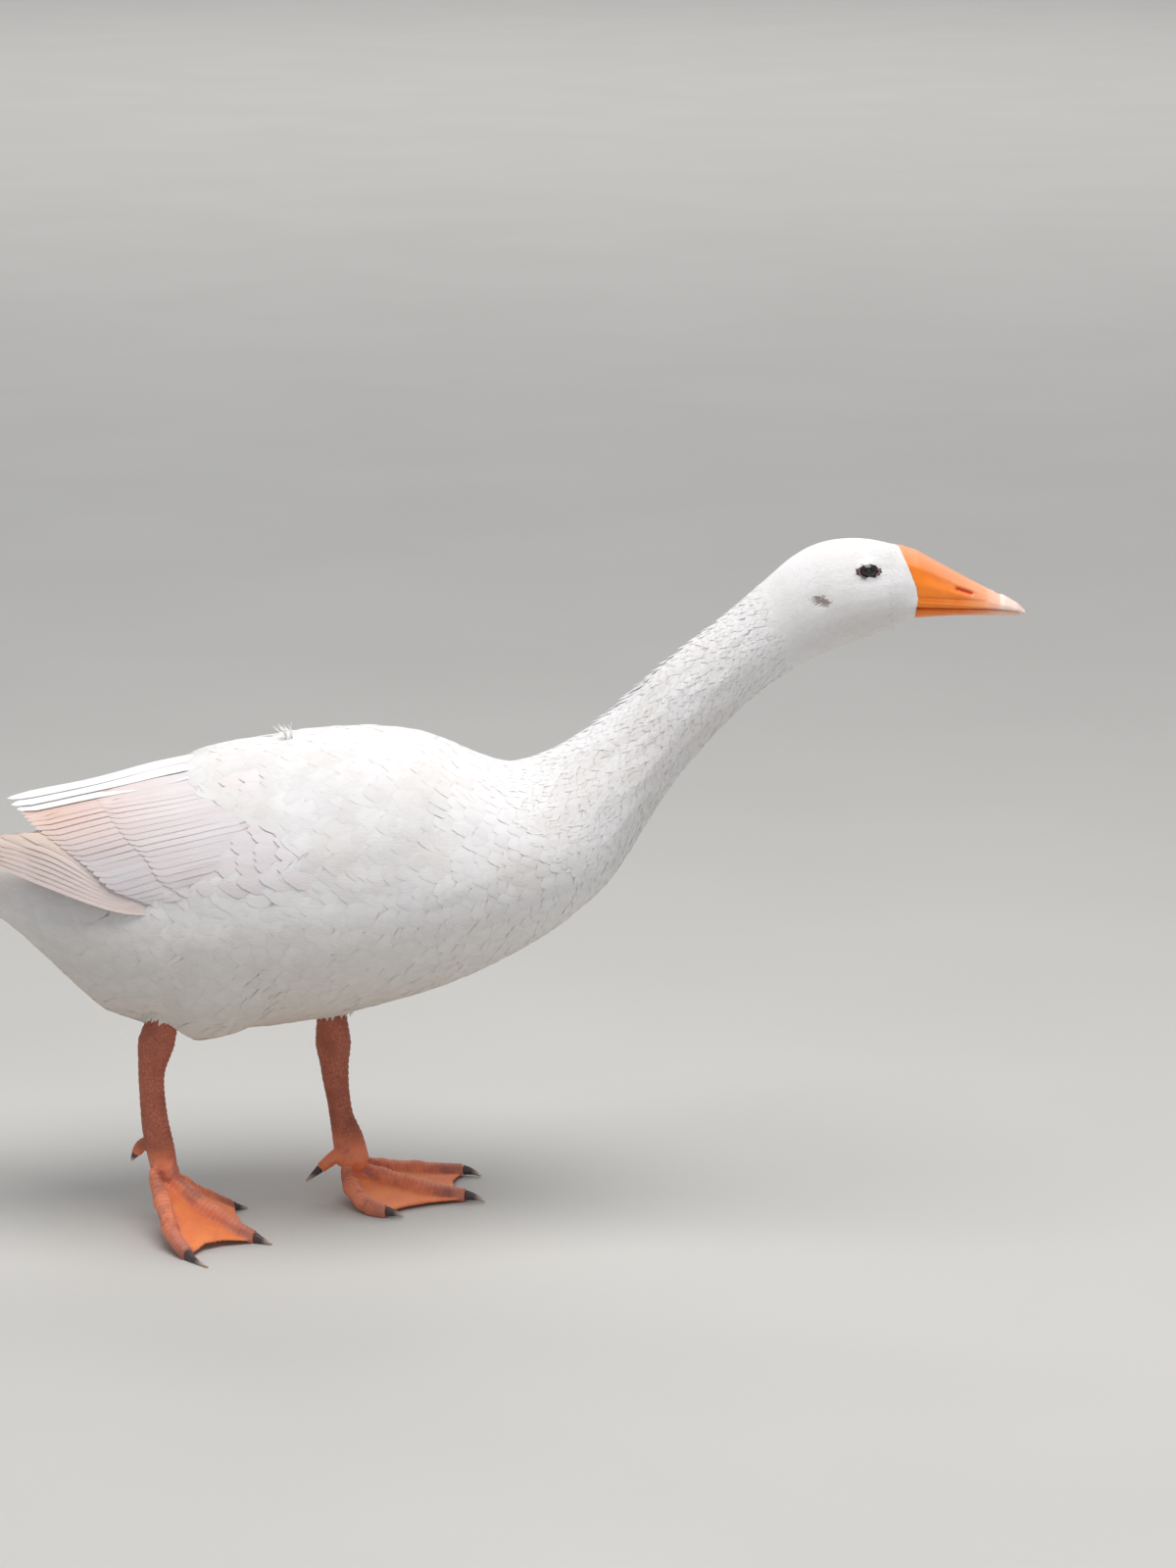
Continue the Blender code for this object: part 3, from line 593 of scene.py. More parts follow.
# %% Laying feathers on a shell
def laid(shell, shape, root, tip, width, thick, under, over, droop, lift=0.0, curl=0.0, roll=0.0):
    """Lays a blade from each root to each tip, both as shares on the shell.

    under is how deep the root lies, over how high the tip, droop lowers the blade's two edges,
    lift and curl raise the tip more, and roll raises one edge and lowers the other."""
    points, faces = shape
    a, b, c = (points[None, :, k] for k in range(3))

    def col(value):
        """One number for each feather, as a column."""
        return np.broadcast_to(np.asarray(value, float), (len(root),))[:, None]

    du, dv = (tip - root).T[:, :, None]
    dv = (dv + 0.5) % 1 - 0.5
    ru, rv = root.T[:, :, None]
    u, v = ru + du * a, rv + dv * a
    su, sv = shell.read(shell.along, u, v), shell.read(shell.across, u, v)
    tu, tv = du * su, dv * sv
    size = np.hypot(tu, tv) + 1e-9
    reach = b * col(width) / 2
    u, v = u - tv / size * reach / su, v + tu / size * reach / sv
    height = -col(under) * (1 - a) ** 1.3 + col(over) * a + col(lift) * a**2 + col(curl) * a**5
    height = height + c * col(thick) - col(droop) * b * b * a + col(roll) * b
    placed = shell.read(shell.co, u, v) + shell.read(shell.normal, u, v) * height[..., None]
    return placed, faces, patches(shape, root)


def ahead(shell, root, length, turn):
    """The shares of a feather's tip, length metres from its root, turned off the lie."""
    su = shell.read(shell.along, root[:, 0], root[:, 1])
    sv = shell.read(shell.across, root[:, 0], root[:, 1])
    return root + np.stack([length * np.cos(turn) / su, length * np.sin(turn) / sv], 1)


halfway = np.array([[0.5, 0.0]])
print("a centimetre on the back is a share of", np.round(ahead(body, halfway, 0.010, 0.0)[0, 0] - 0.5, 4))

# %% Rows of roots
RING_STEPS = 720               # steps in which the way around the shell is measured


def rows_of_roots(shell, first, last, row_gap, gap):
    """Staggered rows of roots, row_gap metres apart along the shell and gap metres around it."""
    roots, u, odd = [], first, 0
    while u < last:
        ring = np.linspace(0, 1, RING_STEPS + 1)
        line = shell.read(shell.across, np.full(len(ring), u), ring)
        run = np.r_[0, np.cumsum((line[1:] + line[:-1]) / 2)] / RING_STEPS
        count = max(6, int(run[-1] / gap))
        at = (np.arange(count) + 0.5 * odd + rng.uniform(-0.22, 0.22, count)) / count * run[-1]
        v = np.interp(at % run[-1], run, ring)
        step = row_gap / float(shell.along[int(u * (len(shell.co) - 1))].mean())
        roots.append(np.stack([u + rng.uniform(-0.25, 0.25, count) * step, v], 1))
        u += step
        odd = 1 - odd
    return np.vstack(roots)


def share_of_x(x):
    """The share along the bird at which its inner line passes x."""
    return float(np.interp(-x, -body.centre[:, 0], np.linspace(0, 1, BODY_ROWS)))


ROOT_U, THROAT_U, NECK_U, BREAST_U, TAIL_U = (share_of_x(x) for x in (0.2975, 0.205, 0.115, 0.06, -0.33))
print("shares along the bird:", [round(s, 3) for s in (ROOT_U, THROAT_U, NECK_U, BREAST_U, TAIL_U)])

# %% [markdown]
# ## Feathers of the head, neck and trunk
# A goose's face has feathers like velvet, only 4 mm long. They grow longer down the neck,
# and on the trunk they are broad scales of 2 to 4 cm. Each tract has its own blade and its
# own gaps, and nothing grows on the bill, over the eye or where the folded wing shows. They
# are meshes on the shell rather than hairs, so they look the same from all sides.

# %% Where feathers stop at the bill and the eye
EDGE = np.array([               # height and x of the line where feathers meet the bill, from below
    (0.3950, 0.2945), (0.4012, 0.2932), (0.4086, 0.2940), (0.4150, 0.2950), (0.4214, 0.2941),
    (0.4278, 0.2916), (0.4342, 0.2890), (0.4406, 0.2859), (0.4470, 0.2831), (0.4500, 0.2815),
])
EYE_ROOM = (0.0067, 0.0049)    # half width and half height of the oval left free round the eye


def behind_bill(points, room):
    """True where a point is room metres behind the line where feathers meet the bill."""
    return points[:, 0] < np.interp(points[:, 2], EDGE[:, 0], EDGE[:, 1]) - room


def off_eye(points):
    """True where a point is outside the oval left free round the eye."""
    return np.hypot((points[:, 0] - EYE[0]) / EYE_ROOM[0], (points[:, 2] - EYE[1]) / EYE_ROOM[1]) > 1


def bill_edge(count, behind=0.0):
    """Roots all along the line where the feathers meet the bill."""
    v, u = (np.arange(count) + 0.5) / count, np.linspace(ROOT_U - 0.02, ROOT_U + 0.08, 300)
    places = body.read(body.co, np.tile(u, count), np.repeat(v, len(u)))
    first = behind_bill(places, behind).reshape(count, len(u)).argmax(1)
    return np.stack([u[first], v], 1)


print("the face's feathers end at x", EDGE[:, 1].min(), "to", EDGE[:, 1].max())

# %% Head feathers
HEAD_GAP = 0.00165
FACE_X = 0.279                 # in front of this the feathers get short and lie close
EAR = (0.2368, 0.4178)         # x and z of the darker spot over the ear
EAR_SIZE = (0.0062, 0.0026)    # its half length and half height
EAR_LEAN = 0.3                 # how much it falls towards the bill
root = rows_of_roots(body, ROOT_U, THROAT_U, HEAD_GAP, HEAD_GAP)
at = body.read(body.co, *root.T)
root = np.vstack([root[behind_bill(at, 0.0014)], bill_edge(150), bill_edge(150, 0.0008)])
at = body.read(body.co, *root.T)
grow = np.clip((root[:, 0] - ROOT_U) / (THROAT_U - ROOT_U), 0, 1)
keep = np.ones(len(root), bool)
for run in (0.0, 0.5, 1.0):
    keep &= off_eye(body.read(body.co, *ahead(body, root, run * (0.0040 + 0.0045 * grow), 0.0).T))
root, at, grow = root[keep], at[keep], grow[keep]
n = len(root)
turn = rng.normal(0, 0.10, n)
front = np.clip((at[:, 0] - FACE_X) / 0.006, 0, 1)
length = (0.0042 + 0.0050 * grow - 0.0010 * front) * rng.uniform(0.85, 1.15, n)
under = 0.0004 - 0.0007 * front
placed, faces, uv = laid(body, HEAD_BLADE, root, ahead(body, root, length, turn), 0.0026 + 0.0016 * grow,
                         0.0002, under, 0.0001 + 0.0003 * front, lift=rng.uniform(0, 0.0001, n),
                         curl=-0.0002, droop=0.0001)
ear_x = at[:, 0] - EAR[0]
ear_z = at[:, 2] - EAR[1] + ear_x * EAR_LEAN
smudge = 2.7 * np.exp(-np.hypot(ear_x / EAR_SIZE[0], ear_z / EAR_SIZE[1]) ** 2)
tone = rng.uniform(0.5, 1, n) - smudge * rng.uniform(0.9, 1.1, n)
joined("head_feathers", placed, faces, uv, tone[:, None], WHITE)

# %% Neck feathers
NECK_GAPS = (0.0034, 0.0029)
NAPE_LIFT = 0.0030             # how far the rough feathers of the nape stand up at most
root = rows_of_roots(body, THROAT_U - 0.01, BREAST_U, *NECK_GAPS)
n = len(root)
turn = rng.normal(0, 0.14, n)
grow = np.clip((root[:, 0] - THROAT_U) / (BREAST_U - THROAT_U), 0, 1)
length = (0.0105 + 0.006 * grow) * rng.uniform(0.8, 1.2, n)
ragged = np.clip(np.cos(2 * math.pi * (root[:, 1] + 0.035)) * 12 - 11, 0, 1)
ragged *= np.clip(grow * 4, 0, 1) * np.clip(3.2 - grow * 4, 0, 1)
lift = rng.uniform(0, 0.0003, n) + ragged * rng.uniform(0, 1, n) ** 2 * NAPE_LIFT
placed, faces, uv = laid(body, NECK_BLADE, root, ahead(body, root, length, turn), 0.0040 + 0.0025 * grow,
                         0.0003, 0.0005, 0.0002, lift=lift,
                         curl=rng.uniform(-0.0002, 0.0001, n), droop=0.0001)
joined("neck_feathers", placed, faces, uv, rng.uniform(0.5, 1, (n, 1)), WHITE)

# %% The window in the trunk's feathers where the folded wing shows
SCAPULAR_LINE = np.array([      # x and z, from the rear
    (-0.205, 0.3050), (-0.200, 0.3030), (-0.175, 0.2940), (-0.138, 0.2840), (-0.1066, 0.2665),
    (-0.098, 0.2600),
])
FLANK_LINE = np.array([
    (-0.2026, 0.2240), (-0.1890, 0.2380), (-0.1631, 0.2446), (-0.1422, 0.2459), (-0.1066, 0.2560),
    (-0.0980, 0.2600), (-0.0650, 0.2664),
])
PANEL_X = (-0.215, -0.098)


def on_panel(points):
    """True where the coverts and flight feathers show, between scapulars and flank."""
    x, z = points[:, 0], points[:, 2]
    inside = (x > PANEL_X[0]) & (x < PANEL_X[1])
    return inside & (z < np.interp(x, *SCAPULAR_LINE.T)) & (z > np.interp(x, *FLANK_LINE.T))


print("the wing shows from x", PANEL_X[0], "to", PANEL_X[1])

# %% Trunk feathers
TRUNK_GAPS = (0.0066, 0.0082)
BACK_X, BACK_Z = 0.05, 0.255   # behind this x and above this height the feathers grow larger
FLANK_X = (-0.205, -0.03)      # between these the flank's edge stands out over the wing
root = rows_of_roots(body, BREAST_U - 0.012, TAIL_U, *TRUNK_GAPS)
n = len(root)
turn = rng.normal(0, 0.09, n)
grow = np.clip((root[:, 0] - BREAST_U) / 0.20, 0, 1)
at = body.read(body.co, *root.T)
high = np.clip((at[:, 2] - BACK_Z) / 0.02, 0, 1) * np.clip((BACK_X - at[:, 0]) / 0.06, 0, 1)
length = (0.019 + 0.012 * grow + 0.012 * high) * rng.uniform(0.85, 1.15, n)
width = 0.0135 + 0.0055 * grow + 0.0070 * high
tip = ahead(body, root, length, turn)
end = body.read(body.co, *tip.T)
flank = np.abs(at[:, 2] - np.interp(at[:, 0], *FLANK_LINE.T) + 0.008)
flank = np.exp(-(flank / 0.010) ** 2) * (at[:, 0] < FLANK_X[1]) * (at[:, 0] > FLANK_X[0])
over = 0.0003 + 0.0004 * flank
placed, faces, uv = laid(body, TRUNK_BLADE, root, tip, width, 0.0003, 0.0005, over,
                         lift=rng.uniform(0, 0.00025, n), curl=rng.uniform(-0.0002, 0.0001, n), droop=0.0001)
keep = ~on_panel(end) & ~on_panel(at)
tone = rng.uniform(0.2, 1, (n, 1))
upper = np.cos(2 * math.pi * root[:, 1]) > 0
for name, some in (("back_feathers", upper & keep), ("belly_feathers", ~upper & keep)):
    joined(name, placed[some], faces, uv[some], tone[some], WHITE)

# %% [markdown]
# ## The bill
# A goose's bill is a hard core under soft orange skin: a high ridge, a long nostril in a
# shallow groove, a pale nail at the tip, and rows of small plates along the mouth. Its two
# halves are read off the solid with rays, as the body was, but on a much finer grid, and
# grooves are then pressed into that grid. They could be painted on, but the light of the
# lamps shows real grooves better.

# %% Two fine shells for the bill
BILL_TOP_LINE = [               # x, z and lean in degrees, from under the feathers to the tip
    (0.2785, 0.4300, 9), (0.2885, 0.4270, 9), (0.2975, 0.4252, 7), (0.3075, 0.4225, 6), (0.3190, 0.4190, 4),
    (0.3305, 0.4155, 2), (0.3427, 0.4125, 0), (0.3521, 0.4103, 0), (0.3600, 0.4073, 0), (0.3650, 0.4036, 0),
]
BILL_LOW_LINE = [
    (0.2850, 0.4050, 0), (0.2920, 0.4047, 0), (0.3040, 0.4048, 0), (0.3200, 0.4051, 0), (0.3350, 0.4049, 0),
    (0.3480, 0.4042, 0), (0.3570, 0.4035, 0), (0.3617, 0.4030, 0),
]


BILL_REACH = 0.05
top = spine_shell(BILL_TOP_LINE, 220, 144)
top.set(blurred(top.cast(("bill_upper",), BILL_REACH), 3))
low = spine_shell(BILL_LOW_LINE, 150, 96)
low.set(blurred(low.cast(("bill_lower",), BILL_REACH), 3))
print("bill shells", top.co.shape[:2], low.co.shape[:2])

# %% Grooves, plates and the nail pressed into the bill
NOSTRIL = ((0.3207, 0.4208), (0.3296, 0.4178))
GROOVES = [                     # x and z of start and end, width, how far out (m)
    (*NOSTRIL, 0.0011, -0.0013),
    ((0.3010, 0.4300), (0.3190, 0.4215), 0.0032, -0.0006),      # hollow behind the nostril
    ((0.3190, 0.4240), (0.3320, 0.4195), 0.0016, 0.0004),       # rim over the nostril
    ((0.2930, 0.4150), (0.3400, 0.4125), 0.0016, -0.0005),      # furrow along the cheek
]
MOUTH_LINE = ((0.29, 0.343, 0.352, 0.365), (0.4092, 0.4077, 0.4067, 0.4030))
MOUTH_PLATE = 0.0016           # length of one small plate along the mouth
NAIL_X = 0.3485                # the nail starts here


def to_segment(points, start, end):
    """Distances of points from a line segment, both as seen from the side."""
    p = points[..., [0, 2]]
    a, b = np.array(start), np.array(end)
    share = np.clip(((p - a) @ (b - a)) / ((b - a) @ (b - a)), 0, 1)
    return np.linalg.norm(p - a - share[..., None] * (b - a), axis=-1)


def bell(distance, size):
    """1 at no distance, falling smoothly to nothing."""
    return np.exp(-((distance / size) ** 2))


side = np.clip(np.abs(top.normal[..., 1]) * 1.5 - 0.2, 0, 1)
x, z = top.co[..., 0], top.co[..., 2]
above = np.cos(2 * math.pi * np.arange(top.around) / top.around)[None]
press = sum(out * bell(to_segment(top.co, start, end), width) for start, end, width, out in GROOVES)
plates = np.sin(x / MOUTH_PLATE * 2 * math.pi) * bell(z - np.interp(x, *MOUTH_LINE) - 0.0006, 0.0010)
press = (press + 0.00018 * plates * (x < 0.350)) * side
nail = np.clip((x - NAIL_X) / 0.0022, 0, 1) * np.clip((above + 0.25) / 0.2, 0, 1)
press += 0.0004 * nail - 0.0003 * bell(x - NAIL_X + 0.0005, 0.0010) * np.clip(above + 0.2, 0, 1)
press += 0.0005 * bell(np.abs(top.co[..., 1] - MIDDLE), 0.0022) * np.clip(above, 0, 1) * (x < 0.345)


def tucked(shell):
    """How far a bill's rear edge sinks in, to lie under the feathers."""
    edge = np.interp(shell.co[..., 2], EDGE[:, 0], EDGE[:, 1])
    behind = edge - shell.co[..., 0]
    return 0.0009 * np.clip(behind / 0.002 + 0.3, 0, 1) + 0.0025 * np.clip((behind - 0.001) / 0.006, 0, 1)


top.set(top.radius + press - tucked(top))
low.set(low.radius - tucked(low))
lowest, highest = (np.round(1000 * value, 1) for value in (press.min(), press.max()))
print("the bill's grid moves out by", lowest, "to", highest, "mm")

# %% [markdown]
# ## Bill skin
# The skin of the bill is a strong orange, pinker on the ridge and towards the tip, with a
# few faint streaks along the cheek. All of that follows places on the bird, so the colours
# are mixed by height and length instead of being painted on an image.

# %% The colours of the bill
orange = Finish("bill_skin", 0.38, Specular_IOR_Level=0.45, Subsurface_Weight=0.12)
orange.shader.inputs["Subsurface Radius"].default_value = (0.004, 0.0015, 0.0006)
slope = orange.maths("ADD", orange.axis("Z"), orange.times(orange.axis("X"), 0.534))
ridge = orange.between(slope, 0.5905, 0.5985)
cheek = orange.between(orange.axis("X"), 0.316, 0.298)
mottle = orange.between(orange.noise(160, 4), 0.35, 0.7)
flesh = orange.mix(mottle, (0.95, 0.270, 0.035), (0.90, 0.215, 0.022))
flesh = orange.mix(orange.times(cheek, 0.75), flesh, (0.96, 0.235, 0.008))
flesh = orange.mix(orange.between(orange.axis("X"), 0.322, 0.342), flesh, (0.93, 0.40, 0.20))
flesh = orange.mix(orange.times(ridge, 0.65), flesh, (0.95, 0.43, 0.27))
level = orange.maths("ADD", orange.axis("Z"), orange.times(orange.axis("X"), 0.07))
streak = orange.between(orange.maths("SINE", orange.times(level, 2850), 0), 0.35, 0.95)
streak = orange.times(streak, orange.between(orange.axis("Z"), 0.4180, 0.4150))
streak = orange.times(streak, orange.between(orange.axis("X"), 0.338, 0.318))
flesh = orange.mix(orange.times(streak, 0.6), flesh, (0.66, 0.120, 0.012))
# painted shade: the nostril's hole is darkened to a deep red
flesh = orange.mix(orange.attribute("nostril"), flesh, (0.68, 0.065, 0.010))
pale = orange.between(orange.axis("X"), 0.338, 0.350)
flesh = orange.mix(pale, flesh, (0.93, 0.60, 0.48))
orange.colour(orange.mix(orange.times(orange.attribute("nail"), 0.8), flesh, (0.94, 0.76, 0.67)))
orange.bump(orange.noise(1500, 3), 0.0002, 0.25)
print("bill skin from", len(orange.nodes), "nodes")

# %% The two halves of the bill
def bill_half(name, shell, **marks):
    """A closed skin straight from a shell's grid, with named marks painted on its points."""
    mesh = wrapped(name, len(shell.co) - 1, shell.around, lambda u, v: shell.read(shell.co, u, v))
    mesh.uv_layers[0].name = "plan"
    co = np.array([v.co[:] for v in mesh.vertices])
    for mark, value in marks.items():
        mesh.attributes.new(mark, "FLOAT", "POINT").data.foreach_set("value", value(co).astype(np.float32))
    print(name, len(mesh.polygons), "faces")
    return new_piece(name, mesh, orange.material)


def nail_mark(co):
    """1 on the nail at the bill's tip."""
    height = co[:, 2] - 0.4055 + (co[:, 0] - 0.352) * 0.2
    return np.clip((co[:, 0] - NAIL_X + 0.0002) / 0.0014, 0, 1) * np.clip(height / 0.0012, 0, 1)


def nostril_mark(co):
    """1 in the nostril, falling to 0 round it, where painted shade darkens the hole."""
    return bell(to_segment(co, *NOSTRIL), 0.0012)


def no_mark(co):
    """0 everywhere, as the lower half has neither."""
    return np.zeros(len(co))


upper_bill = bill_half("bill_top", top, nail=nail_mark, nostril=nostril_mark)
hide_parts("bill_upper")
lower_bill = bill_half("bill_low", low, nail=no_mark, nostril=no_mark)
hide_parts("bill_lower")

# %% [markdown]
# ## The eyes
# The eyeball is a small dark sphere set deep in its hollow. What gives a bird's eye its look
# is the rim: two thin bare lids, dull pink, meeting in a point in front. Seven rings are
# drawn on and around the eyeball and joined into a closed band.

# %% Eyeballs
EYE_DEPTH = 0.0187             # from the middle plane to the eyeball's centre
EYE_SIZE = (0.0068, 0.0053, 0.0051)
eye_finish = Finish("dark_eye", 0.16, Coat_Weight=0.35, Coat_Roughness=0.05)
flat = eye_finish.nodes.new("ShaderNodeVectorMath")
flat.operation = "DISTANCE"
eye_finish.links.new(eye_finish.stretched((1, 0, 1)), flat.inputs[0])
flat.inputs[1].default_value = (EYE[0] + 0.0003, 0, EYE[1])
iris = eye_finish.between(flat.outputs["Value"], 0.0027, 0.0031)
rim = eye_finish.between(flat.outputs["Value"], 0.0042, 0.0054)
pupil_and_iris = eye_finish.mix(iris, (0.004, 0.003, 0.004), (0.026, 0.012, 0.015))
eye_finish.colour(eye_finish.mix(rim, pupil_and_iris, (0.018, 0.010, 0.014)))


def eyeball(side, sign):
    """A sphere with its poles at the sides, flattened and set into the head."""
    bm = bmesh.new()
    bmesh.ops.create_uvsphere(bm, u_segments=40, v_segments=24, radius=1)
    outwards = Vector((0, 0, 1)).rotation_difference(Vector((0, -sign, 0))).to_matrix()
    bmesh.ops.rotate(bm, verts=bm.verts, matrix=outwards)
    bmesh.ops.scale(bm, verts=bm.verts, vec=EYE_SIZE)
    bmesh.ops.translate(bm, verts=bm.verts, vec=(EYE[0], MIDDLE - sign * EYE_DEPTH, EYE[1]))
    mesh = bpy.data.meshes.new("eyeball_" + side)
    bm.to_mesh(mesh)
    bm.free()
    mesh.shade_smooth()
    ball = new_piece("eyeball_" + side, mesh, eye_finish.material)
    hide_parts("eye_" + side)
    print(ball.name, len(mesh.polygons), "faces")


# %% One ring of the eyelids
lid_finish = Finish("eyelid_skin", 0.5)
lid_finish.colour(lid_finish.mix(lid_finish.noise(700, 3), (0.26, 0.155, 0.150), (0.17, 0.095, 0.098)))
head_tree = search_tree(("head",))
LID_LOOPS = (                   # growth, metres out, and share of the head's surface over the eyeball's
    (1.03, -0.0005, 0), (1.0, 0.0002, 0), (1.04, 0.0007, 0.12), (1.10, 0.0010, 0.35),
    (1.17, 0.0010, 0.7), (1.38, -0.0009, 1), (1.15, -0.0025, 0),
)
OPENING = (0.0053, 0.0039)     # half length and half height between the lids


def oval(turn, grow):
    """The lids' outline: an oval with a pointed front corner."""
    dx = (OPENING[0] * math.cos(turn) + 0.0011 * max(0, math.cos(turn)) ** 7) * grow
    return dx, OPENING[1] * math.sin(turn) * (1 - 0.15 * math.cos(turn)) * grow - 0.08 * dx


def lid_ring(bm, sign, grow, out, share):
    """One loop of the lids, out metres over a blend of the eyeball and the head's surface."""
    ring = bmesh.ops.create_circle(bm, segments=56, radius=1)["verts"]
    for vert in ring:
        turn = math.atan2(vert.co.y, vert.co.x)
        ball = [d / size for d, size in zip(oval(turn, 1.0), EYE_SIZE[::2])]
        on_ball = EYE_DEPTH + EYE_SIZE[1] * math.sqrt(max(0.0, 1 - ball[0] ** 2 - ball[1] ** 2))
        far_x, far_z = oval(turn, LID_LOOPS[-2][0])
        start = Vector((EYE[0] + far_x, MIDDLE - sign * 0.05, EYE[1] + far_z))
        on_head = 0.05 - head_tree.ray_cast(start, Vector((0, sign, 0)), 0.05)[3]
        dx, dz = oval(turn, grow)
        depth = on_ball * (1 - share) + on_head * share + out
        vert.co = (EYE[0] + dx, MIDDLE - sign * depth, EYE[1] + dz)
    return ring


print("the lids' rings", len(LID_LOOPS))

# %% Both eyes with their lids
def lids(side, sign):
    """Both lids of an eye as one closed band of rings."""
    bm = bmesh.new()
    loops = []
    for loop in LID_LOOPS:
        ring = set(lid_ring(bm, sign, *loop))
        loops.append([e for e in bm.edges if e.verts[0] in ring and e.verts[1] in ring])
    for first, second in zip(loops, loops[1:] + loops[:1]):
        bmesh.ops.bridge_loops(bm, edges=first + second)
    bmesh.ops.recalc_face_normals(bm, faces=bm.faces)
    mesh = bpy.data.meshes.new("eyelids_" + side)
    bm.to_mesh(mesh)
    bm.free()
    mesh.shade_smooth()
    new_piece("eyelids_" + side, mesh, lid_finish.material)
    print("eyelids_" + side, len(mesh.polygons), "faces")


for side, sign in SIDES.items():
    eyeball(side, sign)
    lids(side, sign)

# %% [markdown]
# ## The folded wings
# A folded wing shows only the lower edge of each flight feather, because every feather lies
# under the one nearer the back, like boards on a wall. A few lines are drawn down the folded
# wing, from the lowest feather to the highest. Lines for all the feathers are filled in
# between them, and a blade is bent along each, with its lower edge turned out a little.

# %% A feather along a free line
QUILL = blade(14, 4, 0.6, 0.40, point=0.12)
SECONDARY = blade(14, 4, 0.7, 0.82, point=0.10)
COVERT = blade(6, 4, 0.5, 0.6)


def plumes(shape, lines, across, width, thick, roll=0.0):
    """Blades bent along lines of points, with the way each blade's width runs.

    roll raises one edge by that much and lowers the other."""
    points, faces = shape
    count, steps = lines.shape[:2]
    a = points[:, 0] * (steps - 1)
    i = np.clip(a.astype(int), 0, steps - 2)
    f = (a - i)[None, :, None]
    centre = lines[:, i] * (1 - f) + lines[:, i + 1] * f
    tangent = unit(lines[:, i + 1] - lines[:, i])
    across = np.broadcast_to(across, (count, steps, 3))[:, i]
    normal = unit(np.cross(tangent, across))
    flat = unit(np.cross(normal, tangent))
    wide = np.broadcast_to(width, (count, len(points)))[..., None]
    out = points[None, :, 2:3] * thick + points[None, :, 1:2] * roll * points[None, :, :1] ** 0.5
    return centre + flat * points[None, :, 1:2] * wide / 2 + normal * out, faces


print("faces of a quill, a secondary and a covert", [len(b[1]) for b in (QUILL, SECONDARY, COVERT)])

# %% Lines for a whole row of feathers
LINE_STEPS = 24                # points along a long feather's line


def between(points, count):
    """count points evenly along a broken line."""
    p = np.array(points, float)
    run = np.r_[0, np.cumsum(np.linalg.norm(np.diff(p, axis=0), axis=1))]
    even = np.linspace(0, 1, count) * run[-1]
    return np.stack([np.interp(even, run, column) for column in p.T], 1)


def smoothed(paths):
    """The same lines as smooth curves."""
    return np.stack([smooth_line(path, LINE_STEPS, 3) for path in paths])


def net(paths, rows):
    """Lines for all the feathers of a row, filled in between a few drawn ones."""
    fine = smoothed(paths)
    return np.stack([smooth_line(fine[:, k], rows, 3) for k in range(LINE_STEPS)], 1)


def sunk(lines, depth=0.0040, share=0.45):
    """The lines with their roots pulled in under the feathers in front."""
    along = np.linspace(0, 1, lines.shape[1])
    return lines - np.clip(1 - along / share, 0, 1)[None, :, None] ** 1.4 * np.array((0, depth, depth / 3))


def flat_places(shape, roots):
    """Patches on the flat plan for a row of feathers, between its first and its last root."""
    return patches(shape, between(body.find(roots[[0, -1]]), len(roots)))


print("a long feather's line has", LINE_STEPS, "points")

# %% A row of long feathers on both wings
# the wing's white is greyer and more lilac than the body's, partly painted shade of the folded wing
FLIGHT = plumage("flight_white", (0.89, 0.845, 0.865), (0.75, 0.685, 0.705), (0.88, 0.74, 0.66), 0.6,
                 rear=(1.0, 0.76, 0.64))
PEACH = plumage("flight_peach", (0.97, 0.86, 0.80), (0.68, 0.54, 0.54), (0.90, 0.68, 0.56), 0.55,
                rear=(1.0, 0.86, 0.77))
SOFT_PAINTED_EDGE_SHADE = {"right": 0.10, "left": 0.10}       # how much painted shade darkens a feather's lower edge


def wing_row(name, shape, paths, width, thick, roll, tone, material,
             painted_edge_shade=SOFT_PAINTED_EDGE_SHADE):
    """One row of long feathers as a piece for each side.

    A side's paths are lines of x, distance off the middle plane and z."""
    pieces = {}
    for side, sign in SIDES.items():
        x, off, z = np.moveaxis(paths[side], 2, 0)
        lines = np.stack([x, MIDDLE - sign * off, z], 2)
        across = -sign * np.gradient(lines, axis=0)
        placed, faces = plumes(shape, lines, across, width, thick, roll * sign)
        # painted shade: each feather's lower edge is darkened, like the shadow line where it lies over the
        # next
        lower_edge = np.clip(shape[0][:, 1] * sign * 2 - 1, 0, 1)
        shade = np.reshape(tone, (-1, 1)) - painted_edge_shade[side] * lower_edge
        uv = flat_places(shape, lines[:, 0])
        pieces[side] = joined(f"{name}_{side}", placed, faces, uv, shade, material)
    return pieces


print("finishes of the wing", FLIGHT.name, PEACH.name)

# %% Secondaries and their coverts
SECONDARIES = 20
GREATER_LENGTH = 16            # points that a greater covert follows of its secondary's line
FOLD = [                        # x, distance off the middle, z, from root to tip
    [(-0.130, 0.0890, 0.2500), (-0.158, 0.0870, 0.2440), (-0.182, 0.0850, 0.2385), (-0.2040, 0.0800, 0.2325)],
    [(-0.130, 0.0880, 0.2610), (-0.165, 0.0850, 0.2530), (-0.195, 0.0805, 0.2455), (-0.2240, 0.0745, 0.2390)],
    [(-0.130, 0.0840, 0.2730), (-0.170, 0.0790, 0.2650), (-0.205, 0.0740, 0.2570), (-0.2370, 0.0680, 0.2495)],
    [(-0.135, 0.0760, 0.2860), (-0.175, 0.0690, 0.2790), (-0.215, 0.0650, 0.2700), (-0.2560, 0.0575, 0.2620)],
    [(-0.140, 0.0590, 0.3000), (-0.180, 0.0520, 0.2920), (-0.225, 0.0480, 0.2835), (-0.2740, 0.0440, 0.2715)],
    [(-0.145, 0.0400, 0.3090), (-0.190, 0.0340, 0.2990), (-0.235, 0.0290, 0.2885), (-0.2840, 0.0260, 0.2760)],
]
fold = net(FOLD, SECONDARIES)
